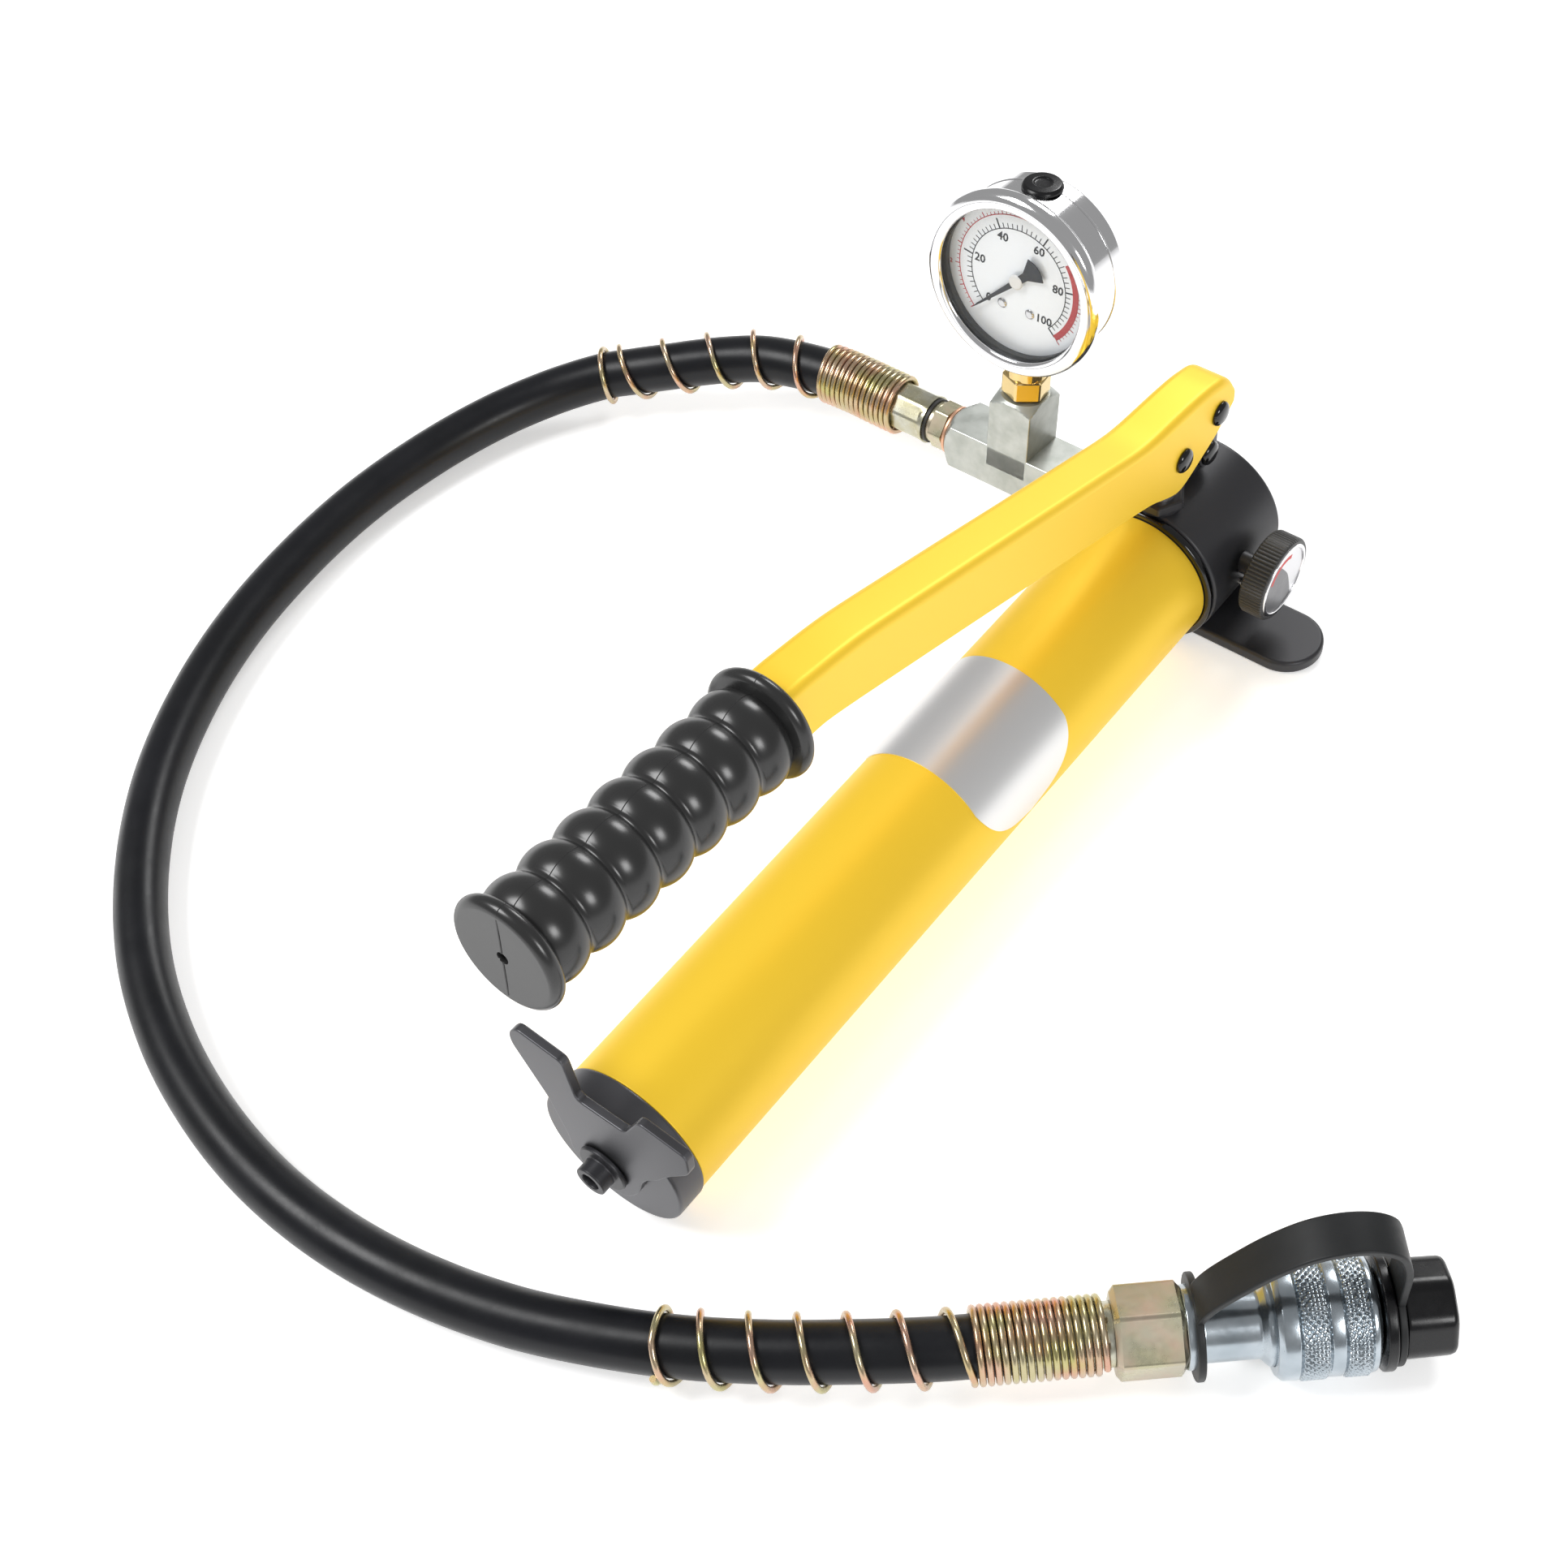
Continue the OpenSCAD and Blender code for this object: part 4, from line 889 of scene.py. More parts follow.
@dataclass
class Handle:
    """Pressed lever, grip, link plates and pins."""

    half: float = 8.0
    wall: float = 2.0
    bend: float = 3.0
    grip_at: Matrix = field(default_factory=lambda: shift(-211, 0, 137) @ spun(-84.5, "Y"))
    grip_l: float = 103.0
    bulges: int = 7
    top_line: tuple[Point2, ...] = ((-213, 149), (-205, 148.6), (-197, 147.3), (-183, 144.6), (-170, 141.2),
                                    (-140, 131.8), (-110, 122.3), (-80, 112.6), (-55, 104.7), (-38, 99.4),
                                    (-28, 97.3), (-15, 96), (-5, 95), (4, 93.7), (10, 92.3), (15, 90.7),
                                    (18.5, 88),
                                    (20.5, 84.5))
    low_line: tuple[Point2, ...] = ((-213, 127.5), (-205, 127), (-196, 125.9), (-183, 122), (-170, 117.7),
                                    (-140, 107.7), (-110, 97.6), (-80, 87.4), (-55, 79), (-31, 70.8),
                                    (-22, 66.4),
                                    (-16.5, 63.6), (-12, 62.2), (-7, 63), (2, 66.7), (10, 70.3), (15, 73.6),
                                    (20.3, 77.6))

    def build(self) -> None:
        """Builds and dresses every piece."""
        self._lever()
        self._grip()
        self._links()

    def _lever(self) -> None:
        """Channel section with rounded bends, open below, and the tang inside the grip."""
        tops = smooth_line([Vector((x, 0, z)) for x, z in self.top_line], 5)
        lows = smooth_line([Vector((x, 0, z)) for x, z in self.low_line], 5)
        rings = []
        for top, low in zip(tops, lows):
            rings.append(self._section(top, low))
        shape = Shape().loft(rings)
        box = [(-8.5, -6.5), (8.5, -6.5), (8.5, 6.5), (-8.5, 6.5)]
        shape.prism(rounded(box, 2.5, 5, True), -8, 97, self.grip_at, 0.4, 2)
        shape.piece("lever_pressed", YELLOW, Body.LEVER, ["lever"], "yellow_enamel", 42)

    def _section(self, top: Vector, low: Vector) -> list[Vector]:
        """One ring of the channel between a top and a bottom point.

        Args:
            top: middle of the top face.
            low: bottom of the walls.

        Returns:
            Ring points in the row frame.
        """
        up = (top - low)
        height = up.length
        up.normalize()
        half, wall, outer = self.half, self.wall, self.bend
        inner = outer - wall
        ring = [(-half + wall, 0.25), (-half + wall - 0.25, 0.0), (-half + 0.35, 0.0), (-half, 0.35)]
        ring += [(-half + outer - outer * math.cos(a), height - outer + outer * math.sin(a))
                 for a in (math.pi / 2 * k / 7 for k in range(8))]
        ring += [(half - outer + outer * math.sin(a), height - outer + outer * math.cos(a))
                 for a in (math.pi / 2 * k / 7 for k in range(8))]
        ring += [(half, 0.35), (half - 0.35, 0.0), (half - wall + 0.25, 0.0), (half - wall, 0.25)]
        ring += [(half - wall - inner + inner * math.cos(a), height - wall - inner + inner * math.sin(a))
                 for a in (math.pi / 2 * k / 3 for k in range(4))]
        ring += [(-half + wall + inner - inner * math.sin(a), height - wall - inner + inner * math.cos(a))
                 for a in (math.pi / 2 * k / 3 for k in range(4))]
        return [low + up * h + Vector((0, y, 0)) for y, h in ring]

    def _grip(self) -> None:
        """Moulded grip with a flange at both ends, bulges and fine parting lines."""
        flange_r, flange_t, bulge_r, valley = 17.6, 5.0, 15.6, 12.6
        pitch = (self.grip_l - 2 * flange_t) / self.bulges
        profile: list[Point2] = [(7.0, 0.02)]
        profile += [(flange_r - 2.5 + 2.5 * math.sin(a),
                     2.5 - 2.5 * math.cos(a)) for a in (math.pi * k / 12 for k in range(13))]
        for i in range(self.bulges):
            for k in range(1, 24):
                t = k / 24
                lift = math.sin(math.pi * t) ** 0.62
                profile.append((valley + (bulge_r - valley) * lift, flange_t + pitch * (i + t)))
        end = self.grip_l
        profile += [(flange_r - 2.5 + 2.5 * math.sin(a),
                     end - 2.5 - 2.5 * math.cos(a)) for a in (math.pi * k / 12 for k in range(13))]
        profile += [(10.0, end - 0.1), (1.9, end - 0.1), (1.8, end - 0.4), (1.8, end - 5), (0, end - 5)]
        shape = Shape().turn(profile, self.grip_at, 120)
        seam = [(0.22, 0.0), (0.0, 0.16), (-0.22, 0.0)]
        for side in (0, 180):
            rows = []
            for r, z in profile[2:-5]:
                ray = self.grip_at @ spun(side, "Z")
                rows.append([ray @ Vector((r - 0.05 + up, wide, z)) for wide, up in seam])
            shape.loft(rows)
        shape.piece("grip_moulded", GRIP_RUBBER, Body.LEVER, ["grip"], "grip_rubber", 50)
        cut = Shape()
        end_at = self.grip_at @ shift(0, 0, end - 0.08)
        cut.prism([(1.9, -0.2), (14.6, -0.2), (14.6, 0.2), (1.9, 0.2)], 0, 0.12, end_at)
        cut.prism([(1.9, -0.2), (14.6, -0.2), (14.6, 0.2), (1.9, 0.2)], 0, 0.12, end_at @ spun(180, "Z"))
        cut.piece("grip_end_seam", SEAL, Body.LEVER)

    def _links(self) -> None:
        """Two link plates and three headed pins."""
        plates = Shape()
        outline = []
        for centre, start in ((Vector((11, 79.5)), 0), (Vector((10.5, 61)), 180)):
            outline += [tuple(centre + Vector((math.cos(a), math.sin(a))) * 5.2)
                        for a in (math.radians(start - 1.5 + 180 * k / 20) for k in range(21))]
        for low in (-5.6, 3.3):
            plates.prism(outline, low, low + 2.3, side_view(), 0.35, 3)
        plates.piece("link_pair", DARK_STEEL, Body.LINK, ["link_plates"], "dark_steel")
        for name, body, node, x, z, half in (("pin_foot", Body.PUMP, "link_foot_pin", 10.5, 61.0, 5.6),
                                             ("pin_link", Body.LINK, "link_top_pin", 11.0, 79.5, 8.0),
                                             ("pin_plunger", Body.LEVER, "plunger_pin", -10.6, 75.5, 8.0)):
            head = half + 0.3
            profile = [(0, -head - 2.0), (1.6, -head - 1.95), (3.0, -head - 1.7), (3.9, -head - 1.15),
                       (4.3, -head - 0.5),
                       (4.3, -head), (3.0, -head), (3.0, head), (4.3, head), (4.3, head + 0.5),
                       (3.9, head + 1.15),
                       (3.0, head + 1.7), (1.6, head + 1.95), (0, head + 2.0)]
            Shape().turn(profile, along_y(x, z), 56).piece(name, GLOSS_BLACK, body, [node], "black_enamel",
                                                           45)


# ---------------------------------------------------------------- gauge


@dataclass
class Gauge:
    """Tee, nipple and pressure gauge, all in the leaning frame of the port."""

    port: Matrix = field(default_factory=lambda: shift(1.0, 0, 28.5) @ spun(6.5, "Y"))
    tee_y: float = 64.0
    tee_half: float = 27.0
    side: float = 17.0
    depth: float = 19.0
    tee_top: float = 30.0
    centre_h: float = 81.0
    front: float = -16.6
    case_r: float = 30.2

    def __post_init__(self) -> None:
        """Works out the frames."""
        self.tee = self.port @ shift(0, self.tee_y, 0)
        self.run = self.port @ spun(-90, "X")
        self.dial = self.port @ shift(0, self.tee_y, self.centre_h) @ spun(90, "Y")

    def build(self) -> None:
        """Builds and dresses every piece."""
        self._tee()
        self._case()
        self._face()

    def _bar(self, shape: Shape, where: Matrix, high: float, low: float, reach: float, both: bool) -> None:
        """A square bar along the frame's Z with a turned chamfer and a bore at its open ends.

        Args:
            shape: the shape to add to.
            where: the bar's frame.
            high: its size along the frame's Y.
            low: where it starts.
            reach: where it ends.
            both: opens the low end too.
        """
        w, h, cut = self.depth / 2, high / 2, 3.0
        base = rounded([(-w, -h), (w, -h), (w, h), (-w, h)], 0.5, 3, True)
        corners = [Vector(one).lerp(Vector(two), k / 14) for one, two in zip(base, base[1:] + base[:1])
                   for k in range(14 if (Vector(two) - Vector(one)).length > 2 else 1)]
        big, tip = math.hypot(w, h), min(w, h) * 1.03

        def ring(z: float, limit: float) -> list[Vector]:
            """One ring of the bar, with its corners cut to a radius."""
            return [where @ Vector((*(c * min(1.0, limit / c.length)), z)) for c in corners]

        def mouth(z: float, radius: float) -> list[Vector]:
            """One round ring of the bore."""
            return [where @ Vector((*(c.normalized() * radius), z)) for c in corners]

        end = [ring(reach - cut * (1 - k / 8), big + (tip - big) * k / 8) for k in range(9)]
        end += [mouth(reach, 6.4), mouth(reach - 1.2, 6.0)]
        start = [ring(low, big)]
        if both:
            start = [mouth(low + 1.2, 6.0), mouth(low, 6.4)]
            start += [ring(low + cut * k / 8, tip + (big - tip) * k / 8) for k in range(9)]
        shape.loft(start + end)

    def _tee(self) -> None:
        """Square tee, hexagon nipple and brass socket."""
        tee = Shape()
        self._bar(tee, self.tee @ spun(-90, "X"), self.side, -self.tee_half, self.tee_half, True)
        self._bar(tee, self.tee @ shift(0, 0, 0.3), self.side - 0.04, 0.0, self.tee_top - 0.3, False)
        tee.piece("tee_forged", ZINC, Body.PUMP, ["tee"], "zinc", 25)
        nipple = Shape()
        hex_bar(nipple, 8.4, 28.4, 37.0, self.run, 10)
        nipple.turn([(0, 17), (6, 17), (6, 48), (0, 48)], self.run, 48)
        nipple.piece("nipple_hex", ZINC, Body.PUMP, ["outlet_nipple"], "zinc")
        socket = Shape()
        hex_bar(socket, 8.6, self.tee_top + 0.5, self.tee_top + 8.5, self.tee, 8)
        socket.turn([(0, 20.5), (6.0, 20.5), (6.0, 31), (5.5, 31), (5.5, 60.5), (0, 60.5)], self.tee, 48)
        socket.turn(rounded([(5.4, self.tee_top + 8), (7.2, self.tee_top + 8), (7.6, self.tee_top + 13),
                             (7.6, 52), (5.4, 52)], 0.5, 4), self.tee, 64)
        socket.piece("socket_brass", BRASS, Body.PUMP, ["gauge_socket"], "brass")

    def _case(self) -> None:
        """Polished case, rolled bezel, glass, gasket and filling plug."""
        f, r = self.front, self.case_r
        case = rounded([(r - 0.8, f + 5), (r, f + 5), (r, f + 24), (r - 2.2, f + 26), (0, f + 26),
                        (0, f + 24.2),
                        (r - 2.8, f + 24.2), (r - 0.8, f + 22)], 1.0, 5, False)
        shape = Shape().turn([*case, case[0]], self.dial, 160)
        shape.ring(rounded([(r, f + 17.4), (r + 0.25, f + 17.6), (r + 0.25, f + 18.2), (r, f + 18.4)], 0.1,
                           2, True),
                   self.dial, 160)
        shape.piece("case_polished", POLISHED, Body.PUMP, ["gauge_case"], "polished_steel")
        bezel = [(r - 2.3, f + 1.7), (r - 2.7, f + 1.2), (r - 2.3, f + 0.5), (r - 1.0, f + 0.05),
                 (r + 0.6, f),
                 (r + 2.0, f + 0.6), (r + 3.0, f + 1.7), (r + 3.3, f + 3.0), (r + 3.2, f + 4.6),
                 (r + 2.5, f + 5.9),
                 (r + 1.3, f + 6.9), (r + 0.9, f + 8.0), (r, f + 8.0), (r, f + 4.0), (r - 0.8, f + 4.0),
                 (r - 0.8, f + 1.7)]
        Shape().ring(rounded(bezel, 0.5, 3, True), self.dial, 180).piece("bezel_rolled", POLISHED,
                                                                         Body.PUMP,
                                                                          ["gauge_bezel"], "polished_steel")
        glass = rounded([(0, f + 1.65), (r - 0.9, f + 1.65), (r - 0.9, f + 3.55), (0, f + 3.55)], 0.2, 3)
        Shape().turn(glass, self.dial, 120).piece("glass_disc", GLASS, Body.PUMP, ["gauge_glass"], "glass")
        gasket = rounded([(r - 0.85, f + 3.65), (r - 0.85, f + 6.1), (r - 2.8, f + 6.1),
                          (r - 2.9, f + 3.65)], 0.4, 4,
                         True)
        Shape().ring(gasket, self.dial, 140).piece("gasket_ring", SEAL, Body.PUMP, ["gauge_gasket"], "seal")
        plug = rounded([(0, r - 2.4), (5.5, r - 2.4), (5.5, r - 0.1), (7.0, r - 0.3), (7.0, r + 0.5),
                        (6.2, r + 1.5),
                        (3.2, r + 1.7), (2.6, r + 1.2), (0, r + 1.2)], 0.5, 4)
        Shape().turn(plug, self.tee @ shift(0, 0, self.centre_h), 64).piece("plug_rubber", CAP_RUBBER,
                                                                            Body.PUMP,
                                                                             ["fill_plug"], "rubber")

    def _spot(self, share: float, radius: float) -> Vector:
        """Dial place, seen from the front as right and up, for a share of the scale and a radius."""
        angle = math.radians(-135 + 270 * share)
        return Vector((radius * math.sin(angle), radius * math.cos(angle)))

    def _flat(self, corners: Sequence[Vector], shape: Shape, low: float, high: float) -> None:
        """Adds a thin flat mark from dial places."""
        shape.prism([(-c.y, -c.x) for c in corners], low, high, self.dial)

    def _tick(self, shape: Shape, share: float, inner: float, outer: float, wide: float,
              level: float) -> None:
        """Adds one graduation line."""
        a, b = self._spot(share, inner), self._spot(share, outer)
        side = (b - a).orthogonal().normalized() * wide / 2
        self._flat([a + side, b + side, b - side, a - side], shape, level, level + 0.06)

    def _arc(self, shape: Shape, start: float, end: float, inner: float, outer: float,
             level: float) -> None:
        """Adds a curved band between two shares of the scale."""
        count = max(2, int((end - start) * 60))
        shares = [start + (end - start) * k / count for k in range(count + 1)]
        for a, b in zip(shares, shares[1:]):
            self._flat([self._spot(a, inner), self._spot(b, inner), self._spot(b, outer),
                        self._spot(a, outer)], shape,
                       level, level + 0.06)

    def _number(self, shape: Shape, text: str, share: float, radius: float, size: float,
                level: float) -> None:
        """Adds digits centred at a place on the dial.

        Args:
            shape: the shape to add to.
            text: digits.
            share: share of the scale.
            radius: distance from the hub.
            size: digit height.
            level: height in the dial frame.
        """
        curve = bpy.data.curves.new("digits", "FONT")
        curve.body, curve.size, curve.resolution_u, curve.offset = text, size, 2, size * 0.02
        curve.align_x, curve.align_y = "CENTER", "CENTER"
        holder = bpy.data.objects.new("digits", curve)
        bpy.context.scene.collection.objects.link(holder)
        graph = bpy.context.evaluated_depsgraph_get()
        mesh = bpy.data.meshes.new_from_object(holder.evaluated_get(graph))
        bpy.data.objects.remove(holder)
        part = bmesh.new()
        part.from_mesh(mesh)
        bpy.data.meshes.remove(mesh)
        spot = self._spot(share, radius)
        for vert in part.verts:
            u, v = vert.co.x + spot.x, vert.co.y + spot.y
            vert.co = Vector((-v, -u, level))
        shape._merge(part, self.dial)

    def _face(self) -> None:
        """Dial with two scales and a red band, screws, pointer with hub."""
        z = self.front + 6.2
        plate = rounded([(1.6, z), (self.case_r - 0.9, z), (self.case_r - 0.9, z + 0.8), (1.6, z + 0.8)],
                        0.1, 2, True)
        Shape().ring(plate, self.dial, 120).piece("dial_plate", DIAL, Body.PUMP, ["gauge_dial"],
                                                  "dial_paint")
        level = z - 0.08
        black, red = Shape(), Shape()
        for i in range(51):
            major, half = i % 10 == 0, i % 5 == 0
            self._tick(black, i / 50, 18.6, 22.2 if major else 21.0 if half else 20.4,
                       0.5 if major else 0.26, level)
        self._arc(black, 0, 1, 18.4, 18.7, level)
        for i in range(71):
            self._tick(red, i / 70, 23.5, 25.2 if i % 5 == 0 else 24.5, 0.3 if i % 5 == 0 else 0.18, level)
        self._arc(red, 0, 1, 23.3, 23.6, level)
        self._arc(red, 0.7, 1, 21.4, 23.6, level - 0.01)
        for i in range(6):
            self._number(black, str(i * 20), i / 5, 15.6, 4.3, level)
        for i in range(1, 7):
            self._number(red, str(i * 2), i / 7, 26.9, 2.3, level)
        black.piece("scale_black", INK, Body.PUMP, weighted=False)
        red.piece("scale_red", RED_INK, Body.PUMP, weighted=False)
        screws = Shape()
        for side in (-1, 1):
            at = self.dial @ shift(11, 5.5 * side, 0)
            screws.turn(rounded([(0, z - 0.65), (1.2, z - 0.6), (1.8, z - 0.2), (1.8, z), (1, z),
                                 (1, z + 2.8), (0, z + 2.8)],
                                0.2, 3), at, 40)
        screws.piece("dial_screw_pair", BRIGHT_STEEL, Body.PUMP, ["dial_screws"], "bright_steel")
        hand = Shape()
        at = self.dial @ spun(45, "Z")
        hand.prism([(0, -1.1), (20.0, -0.3), (23.0, -0.1), (23.0, 0.1), (20.0, 0.3), (0, 1.1)], z - 1.6,
                   z - 1.2, at, 0.08, 2)
        hand.prism([(0, -1.3), (-5, -1.5), (-10.2, -4.6), (-11.3, -2.2), (-11.6, 0), (-11.3, 2.2),
                    (-10.2, 4.6),
                    (-5, 1.5), (0, 1.3)], z - 1.6, z - 1.2, at, 0.08, 2)
        hand.turn([(0, z - 1.2), (1.25, z - 1.2), (1.25, z + 7.0), (0, z + 7.0)], self.dial, 32)
        hand.piece("pointer_hand", INK, Body.POINTER, ["pointer"], "pointer_paint")
        Shape().turn(rounded([(0, z - 1.9), (2.2, z - 1.9), (2.7, z - 1.6), (2.7, z - 1.1), (0, z - 1.1)],
                             0.3, 4),
                     self.dial, 48).piece("pointer_hub", WHITE, Body.POINTER)


# ---------------------------------------------------------------- hose


@dataclass
class HoseRun:
    """Free hose from the tee to the quick coupler, with both ends' fittings."""

    route: tuple[tuple[float, float, float], ...] = (
        (0.001, 0.126, 0.0285), (0.001, 0.137, 0.0285), (0.0003, 0.149, 0.0283), (-0.0023, 0.163, 0.0277),
        (-0.006, 0.176, 0.0267), (-0.0116, 0.1875, 0.025), (-0.0182, 0.198, 0.0233),
        (-0.0252, 0.2083, 0.0213),
        (-0.032, 0.219, 0.019), (-0.040, 0.230, 0.0167), (-0.056, 0.2435, 0.0135), (-0.0776, 0.255, 0.011),
        (-0.105, 0.263, 0.0095), (-0.137, 0.2668, 0.009), (-0.171, 0.2652, 0.009), (-0.206, 0.259, 0.009),
        (-0.240, 0.2472, 0.009), (-0.272, 0.230, 0.009), (-0.300, 0.2074, 0.009), (-0.324, 0.180, 0.009),
        (-0.3413, 0.150, 0.009), (-0.3525, 0.119, 0.009), (-0.3583, 0.089, 0.009), (-0.3592, 0.059, 0.009),
        (-0.3556, 0.0295, 0.009), (-0.348, 0.0, 0.0095), (-0.338, -0.0255, 0.011),
        (-0.3268, -0.0488, 0.013),
        (-0.3146, -0.0695, 0.015), (-0.3025, -0.0871, 0.0163), (-0.2876, -0.1065, 0.01675),
        (-0.27306, -0.1230, 0.01675))
    diameter: float = 0.0175
    length: float = 0.771
    coupler: Matrix = field(default_factory=lambda: shift(-281, -114, 16.75) @ spun(-48.6, "Z") @ spun(90,
                                                                                                       "Y"))
    guard_r: float = 10.15
    wire_r: float = 1.0

    def __post_init__(self) -> None:
        """Works out the fine middle line in millimetres."""
        self.line = smooth_line([Vector(p) / MM for p in self.route], 10)
        self.steps = [0.0]
        for one, two in zip(self.line, self.line[1:]):
            self.steps.append(self.steps[-1] + (two - one).length)

    def build(self) -> None:
        hose = Shape().sweep(self.line, self.diameter / MM / 2, 40).piece("hose_rubber_tube", RUBBER,
                                                                          Body.PUMP,
                                                                          ["hose"], "rubber",
                                                                          weighted=False)
        pump_guard = self._guard("guard_near_pump", -11.5, 1, 15, 6, 15.0, "spring_guard_pump_end")
        far_guard = self._guard("guard_near_coupler", self.steps[-1] + 24, -1, 16, 7, 12.3,
                                "spring_guard_coupler_end")
        self._pump_end()
        far = self._coupler_end()
        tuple(self.route[0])
        [tuple(p * MM) for p in self.line]

    def _at(self, distance: float) -> tuple[Vector, Vector]:
        """Place and direction at a distance along the middle line, run on straight past both ends."""
        if distance <= 0 or distance >= self.steps[-1]:
            near, end = (self.line[0], self.line[1]) if distance <= 0 else (self.line[-2], self.line[-1])
            way = (end - near).normalized()
            over = distance if distance <= 0 else distance - self.steps[-1]
            return (self.line[0] if distance <= 0 else self.line[-1]) + way * over, way
        low, high = 0, len(self.steps) - 1
        while high - low > 1:
            middle = (low + high) // 2
            low, high = (middle, high) if self.steps[middle] <= distance else (low, middle)
        share = (distance - self.steps[low]) / (self.steps[high] - self.steps[low])
        way = (self.line[min(high + 1, len(self.line) - 1)] - self.line[max(low - 1, 0)]).normalized()
        return self.line[low].lerp(self.line[high], share), way

    def _guard(self, name: str, start: float, way: int, close: int, open_turns: int, pitch: float,
               node: str) -> bpy.types.Object:
        """A wire helix round the hose: close turns at the fitting, then open ones.

        Args:
            name: piece name.
            start: distance along the line where it starts.
            way: 1 along the line, -1 back.
            close: number of close turns.
            open_turns: number of open turns.
            pitch: open turns' pitch.
            node: CAD node it stands for.

        Returns:
            The piece.
        """
        per_turn, ends = 36, 0.8
        total = close + open_turns
        points = []
        run = start
        for k in range(total * per_turn + 1):
            n = k / per_turn
            if n > close and total - n > ends:
                step = pitch * open_turns / (open_turns - ends)
            else:
                step = 2.25 if n <= close else 0.0
            run += way * step / per_turn
            place, ahead = self._at(run)
            side = ahead.cross(Vector((0, 0, 1))).normalized()
            a = -way * n * math.tau
            points.append(place + (side * math.cos(a) + side.cross(ahead) * math.sin(a)) * self.guard_r)
        return Shape().sweep(points, self.wire_r, 10).piece(name, CHROMATED_WIRE, Body.PUMP, [node],
                                                            "yellow_zinc",
                                                             weighted=False)

    def _ferrule(self, where: Matrix, low: float, high: float) -> Shape:
        """A crimped sleeve: eight pressed flats with round lands between."""
        shape = Shape()
        rows = []
        count = 96
        for z, blend in ((low, 0.0), (low + 1.2, 0.0), (low + 2.4, 1.0), (high - 2.4, 1.0),
                         (high - 1.2, 0.0), (high, 0.0)):
            row = []
            for k in range(count):
                a = math.tau * k / count
                local = (a + math.pi / 8) % (math.pi / 4) - math.pi / 8
                flat = 8.45 / math.cos(local)
                r = (1 - blend) * 8.95 + blend * min(flat, 8.98)
                row.append(where @ Vector((r * math.cos(a), r * math.sin(a), z)))
            rows.append(row)
        return shape.loft(rows)

    def _pump_end(self) -> None:
        """Adaptor, washer and crimped ferrule next to the tee."""
        run = shift(1.0, 0, 28.5) @ spun(-90, "X")
        adaptor = Shape()
        hex_bar(adaptor, 9.0, 92.4, 99.0, run, 12)
        adaptor.turn(rounded([(0, 82), (6.0, 82), (6.0, 92.3), (7.6, 98.8), (7.6, 101.4), (0, 101.4)], 0.3,
                             3), run, 64)
        adaptor.piece("adaptor_hex", CHROMATED, Body.PUMP, ["hose_adaptor"], "yellow_zinc")
        washer = rounded([(6.05, 91.02), (9.0, 91.02), (9.0, 92.2), (6.05, 92.2)], 0.3, 3, True)
        Shape().ring(washer, run, 64).piece("washer_copper", COPPER, Body.PUMP, ["sealing_washer"],
                                            "copper")
        Shape().ring([(6.2, 100.2), (8.3, 100.2), (8.3, 101.4), (6.2, 101.4)], run,
                     64).piece("adaptor_seal", SEAL,
                                                                                               Body.PUMP)
        self._ferrule(run, 101.5, 126.0).piece("ferrule_near_pump", CRIMPED, Body.PUMP,
                                               ["ferrule_pump_end"], "zinc", 20)

    def _coupler_end(self) -> list[bpy.types.Object]:
        """Ferrule, nut, coupler body, knurled sleeve, dust cap and strap.

        Returns:
            The pieces.
        """
        at = self.coupler
        made = [self._ferrule(at, 12.0, 38.4).piece("ferrule_near_coupler", CRIMPED, Body.PUMP,
                                                    ["ferrule_coupler_end"], "zinc", 20)]
        nut = Shape()
        hex_bar(nut, 13.6, 38.5, 57.7, at, 10, chamfer=1.4)
        made.append(nut.piece("nut_hex", CHROMATED, Body.PUMP, ["coupler_nut"], "yellow_zinc", 25))
        body = rounded([(0, 50), (6, 50), (6, 57.7), (11.6, 57.75), (11.6, 60.5), (10.0, 62.2),
                        (10.0, 77.5),
                        (12.2, 79.6), (12.2, 109.5), (9.2, 109.5), (9.0, 85), (3, 85), (0, 85)], 0.5, 4)
        made.append(Shape().turn(body, at, 96).piece("coupler_turned", BLUE_ZINC, Body.PUMP,
                                                     ["coupler_body"], "zinc"))
        made.append(self._sleeve(at))
        made.append(self._cap(at))
        made.append(self._strap(at))
        return made

    def _sleeve(self, at: Matrix) -> bpy.types.Object:
        """Sleeve with grooves and two diamond-knurled bands."""
        outer = 16.75
        plain = [(12.3, 81.0), (14.8, 81.0), (outer - 0.5, 82.6), (outer - 0.3, 86.6), (outer - 1.1, 87.1),
                 (outer - 1.1, 94.8), (outer - 0.5, 95.3), (outer - 0.5, 98.6), (outer - 1.1, 99.1),
                 (outer - 1.1, 106.0), (outer - 0.7, 106.4), (outer - 0.9, 107.6), (15.0, 108.5),
                 (12.3, 108.5)]
        shape = Shape().ring(rounded(plain, 0.35, 3, True), at, 128)
        for low, high in ((87.2, 94.7), (99.2, 106.0)):
            rows = []
            around, along, lines = 352, 28, 44
            for i in range(along + 1):
                s = low + (high - low) * i / along
                edge = min(1.0, min(i, along - i) / 1.5)
                row = []
                for k in range(around):
                    a = math.tau * k / around
                    u = lines * k / around
                    v = (s - low) / 2.1
                    tri = [abs(((u + sign * v) % 1.0) * 2 - 1) for sign in (-1, 1)]
                    lift = min(1.0, 1.9 * min(tri))
                    r = outer - 1.05 + edge * (0.35 + 0.65 * lift)
                    row.append(at @ Vector((r * math.cos(a), r * math.sin(a), s)))
                rows.append(row)
            shape.loft(rows, cap=False)
